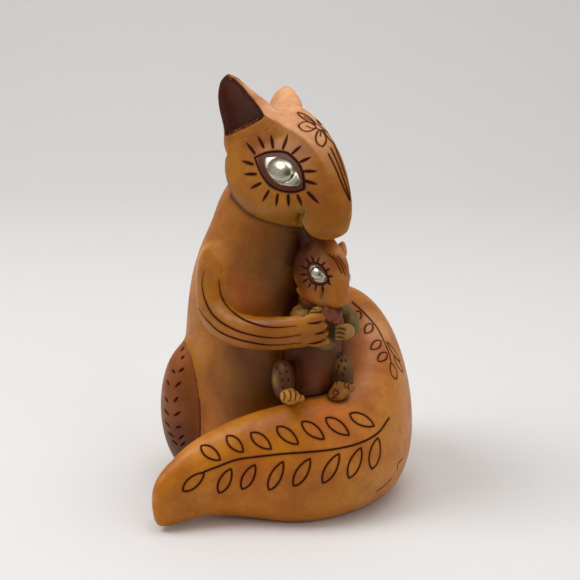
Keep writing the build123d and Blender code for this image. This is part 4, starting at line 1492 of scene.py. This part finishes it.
# Clouds of slip on each piece, some of them painted shade and a painted highlight: a pixel or a
# place in millimetres, radius, colour and strength
BODY_SLIP_LIGHT_AND_SHADE_CLOUDS = [
    # Painted shade: UMBER between the chest and the young one, OLIVE at (245, 385) below the arm,
    # and #4b2c0a by the young one's legs
    ((250, 262), 20, BROWN, 0.75), ((278, 262), 17, OLIVE, 0.85), ((292, 300), 12, UMBER, 0.8),
    ((245, 385), 17, OLIVE, 0.85), ((275, 385), 13, "#4b2c0a", 0.9), ((262, 360), 12, BROWN, 0.7),
    # A painted highlight on the left flank: #dd9a4e at (203, 262)
    ((203, 262), 11, "#dd9a4e", 0.75), ((203, 420), 14, "#b5651f", 0.7),
    # Painted shade under the chin: #744610 at (285, 240)
    ((228, 215), 14, "#b06a20", 0.7), ((285, 240), 12, "#744610", 0.85),
    # Painted shade that darkens the neck and the lower front: #8c540a, #925606, #6e3e04 and #804804
    ((240, 300), 10, "#b4561f", 0.5), ((238, 224), 11, "#8c540a", 0.6),
    ((215, 380), 11, "#925606", 0.6), ((240, 350), 9, "#6e3e04", 0.55),
    ((235, 412), 10, "#804804", 0.6),
]
FOREHEAD_COLOUR = "#e6aa7c"
HEAD_CLOUDS = [
    ((325, 200), 14, "#90540c", 0.8), ((330, 225), 10, "#995f16", 0.6),
    ((258, 145), 11, "#94500f", 0.7), ((300, 150), 7, "#94561a", 0.6),
    ((301, 218), 4, "#5f5a22", 0.9), ((280, 222), 8, "#8a6c24", 0.5),
    ((236, 190), 6, "#c98436", 0.3), ((246, 202), 9, "#935a08", 0.6),
]
EAR_CLOUDS = [((286, 92), 9, "#f0b886", 1.0), ((250, 90), 5, "#9a5422", 0.5)]
TAIL_CLOUDS = [
    ((375, 330), 11, "#e6a878", 0.9), ((358, 350), 12, "#d98a58", 0.9),
    ((362, 385), 13, "#d6854e", 0.8), ((330, 412), 11, "#c8642c", 0.7),
    ((285, 412), 9, "#b06a20", 0.6), ((230, 430), 10, "#c07a20", 0.7),
    ((200, 447), 9, "#dc9236", 0.6), ((260, 475), 12, "#b4601c", 0.6),
    ((310, 490), 14, "#a8641c", 0.7), ((370, 490), 13, "#b9813f", 0.7),
    ((392, 430), 15, "#c98a3c", 0.8), ((190, 505), 11, "#b06c22", 0.7),
    ((350, 440), 12, "#ca7a24", 0.6), ((399, 380), 10, "#cf8a44", 0.7),
]
ARM_CLOUDS = [
    ((215, 320), 12, "#a86c18", 0.8), ((245, 312), 8, "#bd8420", 0.8),
    ((262, 330), 10, "#935610", 0.7), ((215, 275), 9, "#a86318", 0.7),
    ((290, 330), 8, "#965410", 0.7), ((316, 334), 6, "#8e4c12", 0.6),
    ((300, 320), 6, "#cf8e38", 0.6), ((235, 345), 8, "#b4561f", 0.5),
]
BABY_HEAD_SLIP_AND_SHADE_CLOUDS = [
    # Painted shade: the dark clouds on the side next to the mother's chest, at (302, 262), (302,
    # 283), (306, 246) and (298, 268); the rest are slip
    ((302, 262), 6, "#54280c", 0.9), ((322, 250), 4.5, "#6c3810", 0.8),
    ((316, 273), 6, "#5c2a10", 0.85), ((302, 283), 6, "#5a2e10", 0.9),
    ((335, 290), 6, "#a26410", 0.9), ((345, 275), 5, "#b27a3a", 0.7),
    ((322, 298), 4, "#7a5a24", 0.6), ((340, 252), 4, "#d89a58", 0.8),
    ((306, 246), 7, "#4c240c", 0.95), ((298, 268), 5, "#46220c", 0.9),
]
BABY_BODY_CLOUDS = [
    ((326, 344), 4, "#7a7440", 0.9), ((300, 355), 8, "#5a2c0c", 0.7),
    ((320, 380), 9, "#7a3c12", 0.6),
]
HAUNCH_CLOUDS = [((172, 445), 12, "#5e3a26", 0.85), ((175, 360), 8, "#ac6430", 0.6)]
LEG_CLOUDS = [((274, 380), 2.6, "#a37e2c", 0.7), ((342, 362), 3.5, "#9a7c40", 0.7)]
FOOT_CLOUDS = [((342, 382), 3.4, "#d0a860", 0.95), ((333, 393), 4, "#8a5018", 0.7)]


# Properties and operators


def length(name, description, default, low, high):
    """A length property, from millimetres."""
    return bpy.props.FloatProperty(
        name=name, description=description, default=default * METRE, min=low * METRE,
        max=high * METRE, precision=5, unit="LENGTH")


def colour(name, description, default):
    """A colour property, from three linear numbers."""
    return bpy.props.FloatVectorProperty(
        name=name, description=description, default=tuple(default), min=0.0, max=1.0,
        subtype="COLOR", size=3)


class SquirrelSizes(bpy.types.PropertyGroup):
    """Sizes and colours that a maker would change."""

    mesh_pitch: length("Mesh pitch", "Distance between a large form's points", 0.95, 0.5, 4.0)
    small_pitch: length("Small pitch", "Distance between the points of the paws", 0.45, 0.2, 2.0)
    digit_melt: length("Digit melt", "How softly digits join their palm", 1.0, 0.1, 4.0)
    groove_depth: length("Groove depth", "Depth of the incised lines", 0.32, 0.0, 1.0)
    dent_depth: length("Dent depth", "Depth of the corner of the mouth", 1.5, 0.0, 4.0)
    body_slip: colour("Body slip", "Slip of the mother's body", linear("#ba7610"))
    head_slip: colour("Head slip", "Slip of her head and arms", linear("#a86c0e"))
    haunch_slip: colour("Haunch slip", "Slip of her haunches", linear("#8e4f1c"))
    tail_slip: colour("Tail slip", "Slip of the tail", linear("#c07815"))
    key_power: bpy.props.FloatProperty(
        name="Key light", description="Power of the main lamp",
        default=6.5, min=0.0, max=100.0, unit="POWER")
    floor_colour: colour("Floor colour", "Colour of the plain floor", (0.79, 0.79, 0.80))


def shared_forms():
    """Every form once, at the pitch of its mesh."""
    forms = all_forms
    if forms:
        return forms
    sizes = bpy.context.scene.squirrel_sizes
    pitch, small = sizes.mesh_pitch / METRE, sizes.small_pitch / METRE
    forms["body"] = body_form(pitch)
    forms["head"] = head_form(MOTHER, pitch * 0.9)
    forms["tail"] = tail_form(pitch * 1.15)
    forms["baby_body"] = baby_form(pitch * 0.8)
    forms["baby_head"] = head_form(BABY, small)
    for side in (NEAR, FAR):
        forms["arm", side] = arm_form(side, pitch * 0.9)
        forms["haunch", side] = haunch_form(side, pitch)
        forms["ear", side] = Ear(MOTHER, EAR_SEATS[side], EAR_SIZE, side, pitch * 0.5)
        forms["baby_ear", side] = Ear(
            BABY, BABY_EAR_SEATS[side], BABY_EAR_SIZES[side], side, small * 0.7)
        forms["hand", side] = hand_forms(side, small)
        forms["baby_arm", side] = baby_arm(side, small)
        forms["baby_hand", side] = baby_hand(side, small * 0.7)
        forms["baby_leg", side] = baby_leg(side, small)
        forms["baby_foot", side] = baby_foot(side, small * 0.6)
        forms["sole", side] = forms["baby_foot", side][0]
    lobe = met(forms["baby_body"], [LOBE_PIXEL])[0]
    forms["baby_lobe"] = Egg(lobe, BABY_FAR, UPWARD, LOBE_HALVES, small)
    heart, halves = baby_point(*NUT_PLACE), np.array(NUT_SIZE) * NUT_HEART_SHARE
    forms["nut_heart"] = Egg(heart, BABY_HEADING, BABY_FAR, halves, small * 0.7)
    forms["nut"] = [forms["nut_heart"]]
    for ahead, aside, lift in NUT_LOBES:
        way = BABY_HEADING * ahead + BABY_FAR * aside + UPWARD * lift
        forms["nut"].append(Egg(
            heart + way * NUT_SIZE[0], BABY_HEADING, BABY_FAR, NUT_LOBE_HALVES, small * 0.5))
    return forms


# Softness of an ear's join on the mother
EAR_MELT = 7.5


def shoulder_melt(points):
    """Softness of the arm's join: wide at the shoulder, narrow along the forearm."""
    return 3.0 + 3.5 * smooth((points[:, 2] - 84) / 22)


def tail_melt(points):
    """Softness of the tail's join: wide at its root behind her, narrow elsewhere."""
    return 3.0 + 5.0 * smooth((points[:, 1] - 12) / 14)


class BuildMother(bpy.types.Operator):
    """Builds the mother's body, haunches and arms"""

    bl_idname = "squirrel.mother"
    bl_label = "Mother"

    def execute(self, context):
        shared_forms()
        slip = material_named("ochre_slip_on_earthenware")
        clay_piece(
            "mother_body", ["body"],
            {"arm": shoulder_melt, "haunch": 5.0, "tail": tail_melt, "baby_body": 4.0}, slip,
            clouds=BODY_SLIP_LIGHT_AND_SHADE_CLOUDS,
            stain_and_shade_folds={"tail": 4.0, "baby_body": 7.0, ("haunch", NEAR): 1.6, "head": 1.6,
                   "baby_head": 9.0})
        for side, name in SIDE_NAMES.items():
            near = side == NEAR
            arm, hand = ("arm", side), ("hand", side)
            clouds = aimed(ARM_CLOUDS, listed([arm, hand])) if near else ()
            clay_piece(
                f"mother_arm_{name}", [arm],
                {"body": shoulder_melt, "tail": 2.0, hand: 2.0, "baby_body": 1.0}, slip,
                (lambda tree: tapered_lines(tree, ARM_LINES)) if near else None, clouds=clouds)
            clay_piece(
                f"mother_hand_{name}", [hand], {arm: 2.0, "baby_body": 1.0}, slip,
                (lambda tree: tapered_lines(tree, FINGER_LINES) + tapered_lines(
                    [*tree, trees["mother_arm_right"]], ARM_LINES)) if near else None,
                clouds=clouds)
            clay_piece(
                f"mother_haunch_{name}", [("haunch", side)], {"body": 5.0, "tail": 2.0}, slip,
                (lambda tree: marks(tree, HAUNCH_PAIRS, CUT_POINTS, HALF["haunch_cut"], seed))
                if near else None,
                clouds=HAUNCH_CLOUDS, stain_and_shade_folds={"body": 1.6, "tail": 4.0})
        return {"FINISHED"}


class BuildMotherHead(bpy.types.Operator):
    """Builds the mother's head, ears and eyes"""

    bl_idname = "squirrel.mother_head"
    bl_label = "Mother's head"

    def execute(self, context):
        f = shared_forms()
        slip = material_named("ochre_slip_on_earthenware")
        lustre = material_named("platinum_lustre")
        clay_piece(
            "mother_head", ["head"], {"ear": EAR_MELT}, slip, mother_head_strokes,
            clouds=HEAD_CLOUDS, hollows=[ear.hollow for ear in listed(["ear"])],
            dents_of=lambda tree: mouth_dents(tree, MOUTH, MOTHER, HALF["mouth"]),
            stain_and_shade_folds={"body": 2.0}, panel=(forehead, FOREHEAD_COLOUR),
            washes_of=lambda tree: [lid_wash(tree, EYE_LIDS, SOCKET_LIDS, MOTHER, 1.0, 1.3)])
        for side, name in SIDE_NAMES.items():
            clay_piece(
                f"mother_ear_{name}", [("ear", side)], {"head": EAR_MELT}, slip,
                clouds=[*EAR_CLOUDS, *aimed(HEAD_CLOUDS, [f["head"]])],
                hollows=[f["ear", side].hollow], panel=(forehead, FOREHEAD_COLOUR))
            eye_piece(
                f"mother_eye_{name}", MOTHER, trees["mother_head"], EYE_LIDS, DOME_PIXEL,
                DOME_RADII, DOME_RISE, side, lustre)
        return {"FINISHED"}


class BuildTail(bpy.types.Operator):
    """Builds the tail with its sprigs"""

    bl_idname = "squirrel.tail"
    bl_label = "Tail"

    def execute(self, context):
        shared_forms()
        clay_piece(
            "tail", ["tail"], {"body": tail_melt, "haunch": 2.0},
            material_named("ochre_slip_on_earthenware"), tail_strokes, clouds=TAIL_CLOUDS,
            stain_and_shade_folds={"body": 4.0, "baby_body": 6.0, "sole": 2.0})
        return {"FINISHED"}


class BuildBaby(bpy.types.Operator):
    """Builds the young one and its nut"""

    bl_idname = "squirrel.baby"
    bl_label = "Young one"

    def execute(self, context):
        f = shared_forms()
        slip = material_named("brown_slip_on_earthenware")
        lustre = material_named("platinum_lustre")
        clay_piece(
            "baby_body", ["baby_body", "baby_lobe"],
            {"body": 4.0, "tail": 2.5, "baby_head": 5.0, "baby_leg": 3.0}, slip,
            clouds=BABY_BODY_CLOUDS, stain_and_shade_folds={"tail": 4.0, "body": 4.0, "baby_leg": 2.5})
        clay_piece(
            "baby_head", ["baby_head"], {"baby_body": 3.0}, slip, baby_head_strokes,
            clouds=BABY_HEAD_SLIP_AND_SHADE_CLOUDS, stain_and_shade_folds={"head": 4.0, "body": 5.0},
            dents_of=lambda tree: mouth_dents(tree, BABY_MOUTH, BABY, HALF["baby_mouth"]),
            washes_of=lambda tree: [
                lid_wash(tree, BABY_EYE_LIDS, BABY_SOCKET_LIDS, BABY, 0.3, 0.9)])
        for side, name in SIDE_NAMES.items():
            ear, arm, hand, leg, foot = (
                (f"baby_{limb}", side) for limb in ("ear", "arm", "hand", "leg", "foot"))
            clay_piece(f"baby_ear_{name}", [ear], {}, slip,
                       hollows=[f[ear].hollow] if side == NEAR else ())
            eye_piece(
                f"baby_eye_{name}", BABY, trees["baby_head"], BABY_EYE_LIDS, BABY_DOME_PIXEL,
                BABY_DOME_RADII, BABY_DOME_RISE, side, lustre)
            clay_piece(
                f"baby_arm_{name}", [arm], {"baby_body": 2.5, hand: 2.0}, slip,
                stain_and_shade_folds={"baby_body": 2.0})
            clay_piece(
                f"baby_hand_{name}", [hand], {arm: 2.0}, slip,
                lambda tree: marks(tree, PAW_LINES, PAW_POINTS, HALF["paw"]),
                stain_and_shade_folds={"nut_heart": 1.2})
            clay_piece(
                f"baby_leg_{name}", [leg], {"baby_body": 3.0, "tail": 1.0, foot: 2.0}, slip,
                lambda tree: marks(tree, LEG_PAIRS, CUT_POINTS, HALF["leg_cut"], seed),
                clouds=LEG_CLOUDS,
                stain_and_shade_folds={"baby_body": 2.0, "tail": 2.0})
            clay_piece(
                f"baby_foot_{name}", [foot], {leg: 2.0, "tail": 0.8}, slip,
                lambda tree: marks(
                    tree, [*TOE_LINES, PAD_RING, PAD_MARK], PAW_POINTS, HALF["paw"]),
                clouds=FOOT_CLOUDS, stain_and_shade_folds={"tail": 2.0})
        clay_piece("nut", ["nut"], {}, material_named("rose_slip_on_earthenware"))
        return {"FINISHED"}


def dim_room(viewer):
    """A room that is pale all round and darker towards the viewer's side, as the lustre shows."""
    world = bpy.data.worlds.new("soft_room")
    world.use_nodes = True
    tree = world.node_tree
    way = add_node(tree, "ShaderNodeTexCoord").outputs["Generated"]
    toward = add_node(tree, "ShaderNodeVectorMath", {0: way, 1: viewer}, operation="DOT_PRODUCT")
    strength = ranged(tree, toward.outputs["Value"], 0.55, 0.97, 0.62, 0.10, "SMOOTHSTEP")
    background = tree.nodes["Background"]
    background.inputs["Color"].default_value = (1.0, 0.95, 0.87, 1.0)
    tree.links.new(strength, background.inputs["Strength"])
    return world


# The card: its half width, its depth behind, its height, the radius of its bend, and its depth in
# front, in metres
CARD_HALF, CARD_BACK, CARD_RISE, CARD_BEND, CARD_FRONT = 4.0, 1.2, 2.4, 0.5, 1.6
# Each lamp's name, place and size in metres, and its share of the key lamp's power
LAMPS = (
    ("key_lamp", (-0.70, -0.10, 1.05), 0.70, 1.0),
    ("fill_lamp", (0.70, -0.85, 0.60), 0.80, 0.28),
    ("top_lamp", (0.20, 0.10, 1.25), 0.90, 0.65),
)
LAMP_AIM = Vector((0.0, 0.0, 0.09))
SENSOR_WIDTH = 36.0


class BuildStage(bpy.types.Operator):
    """Builds the floor, the backdrop, the lamps and the camera"""

    bl_idname = "squirrel.stage"
    bl_label = "Stage"

    def execute(self, context):
        scene = context.scene
        sizes = scene.squirrel_sizes
        t = np.linspace(0, np.pi / 2, 24)
        profile = np.concatenate([
            [[-CARD_FRONT, 0.0]],
            np.stack([CARD_BACK - CARD_BEND * (1 - np.sin(t)), CARD_BEND * (1 - np.cos(t))], 1),
            [[CARD_BACK, CARD_RISE]],
        ])
        points = np.concatenate([
            np.insert(profile, 0, edge, axis=1) for edge in (-CARD_HALF, CARD_HALF)])
        count = len(profile)
        faces = [(i, i + count, i + count + 1, i + 1) for i in range(count - 1)]
        mesh = bpy.data.meshes.new("floor_sheet")
        mesh.from_pydata(points.tolist(), [], faces)
        mesh.update()
        floor = bpy.data.objects.new("floor_sheet", mesh)
        scene.collection.objects.link(floor)
        material = bpy.data.materials.new("matt_white_card")
        material.use_nodes = True
        shader = material.node_tree.nodes["Principled BSDF"]
        shader.inputs["Base Color"].default_value = (*sizes.floor_colour, 1.0)
        shader.inputs["Roughness"].default_value = 0.9
        floor.data.materials.append(material)
        for name, place, size, share in LAMPS:
            data = bpy.data.lights.new(name, "AREA")
            data.shape, data.size, data.energy = "DISK", size, sizes.key_power * share
            lamp = bpy.data.objects.new(name, data)
            lamp.location = place
            lamp.rotation_euler = (LAMP_AIM - Vector(place)).to_track_quat("-Z", "Y").to_euler()
            scene.collection.objects.link(lamp)
        place, aim_way = ray((PHOTO_SIZE / 2, PHOTO_SIZE / 2))
        scene.world = dim_room(-aim_way)
        data = bpy.data.cameras.new("photo_camera")
        data.sensor_width = SENSOR_WIDTH
        data.lens = LENS_PIXELS / PHOTO_SIZE * data.sensor_width
        camera = bpy.data.objects.new("photo_camera", data)
        camera.location = Vector(place) * METRE
        camera.rotation_euler = Vector(aim_way).to_track_quat("-Z", "Y").to_euler()
        scene.collection.objects.link(camera)
        scene.camera = camera
        scene.view_settings.view_transform = "Standard"
        return {"FINISHED"}


class SquirrelPanel(bpy.types.Panel):
    """Lists the builders of the ornament"""

    bl_idname = "VIEW3D_PT_squirrel"
    bl_label = "Squirrel"
    bl_space_type = "VIEW_3D"
    bl_region_type = "UI"
    bl_category = "Squirrel"

    def draw(self, context):
        sizes = context.scene.squirrel_sizes
        for key in SquirrelSizes.__annotations__:
            self.layout.prop(sizes, key)
        for operator in OPERATORS:
            self.layout.operator(operator.bl_idname)


OPERATORS = (BuildStage, BuildTail, BuildMother, BuildMotherHead, BuildBaby)
CLASSES = (SquirrelSizes, *OPERATORS, SquirrelPanel)


def register():
    """Registers the classes and the sizes on the scene."""
    for cls in CLASSES:
        bpy.utils.register_class(cls)
    bpy.types.Scene.squirrel_sizes = bpy.props.PointerProperty(type=SquirrelSizes)


def unregister():
    """Takes them away again."""
    del bpy.types.Scene.squirrel_sizes
    for cls in reversed(CLASSES):
        bpy.utils.unregister_class(cls)


def main():
    """Builds everything."""
    register()
    bpy.ops.squirrel.stage()
    bpy.ops.squirrel.tail()
    bpy.ops.squirrel.mother()
    bpy.ops.squirrel.mother_head()
    bpy.ops.squirrel.baby()


if __name__ == "__main__":
    main()
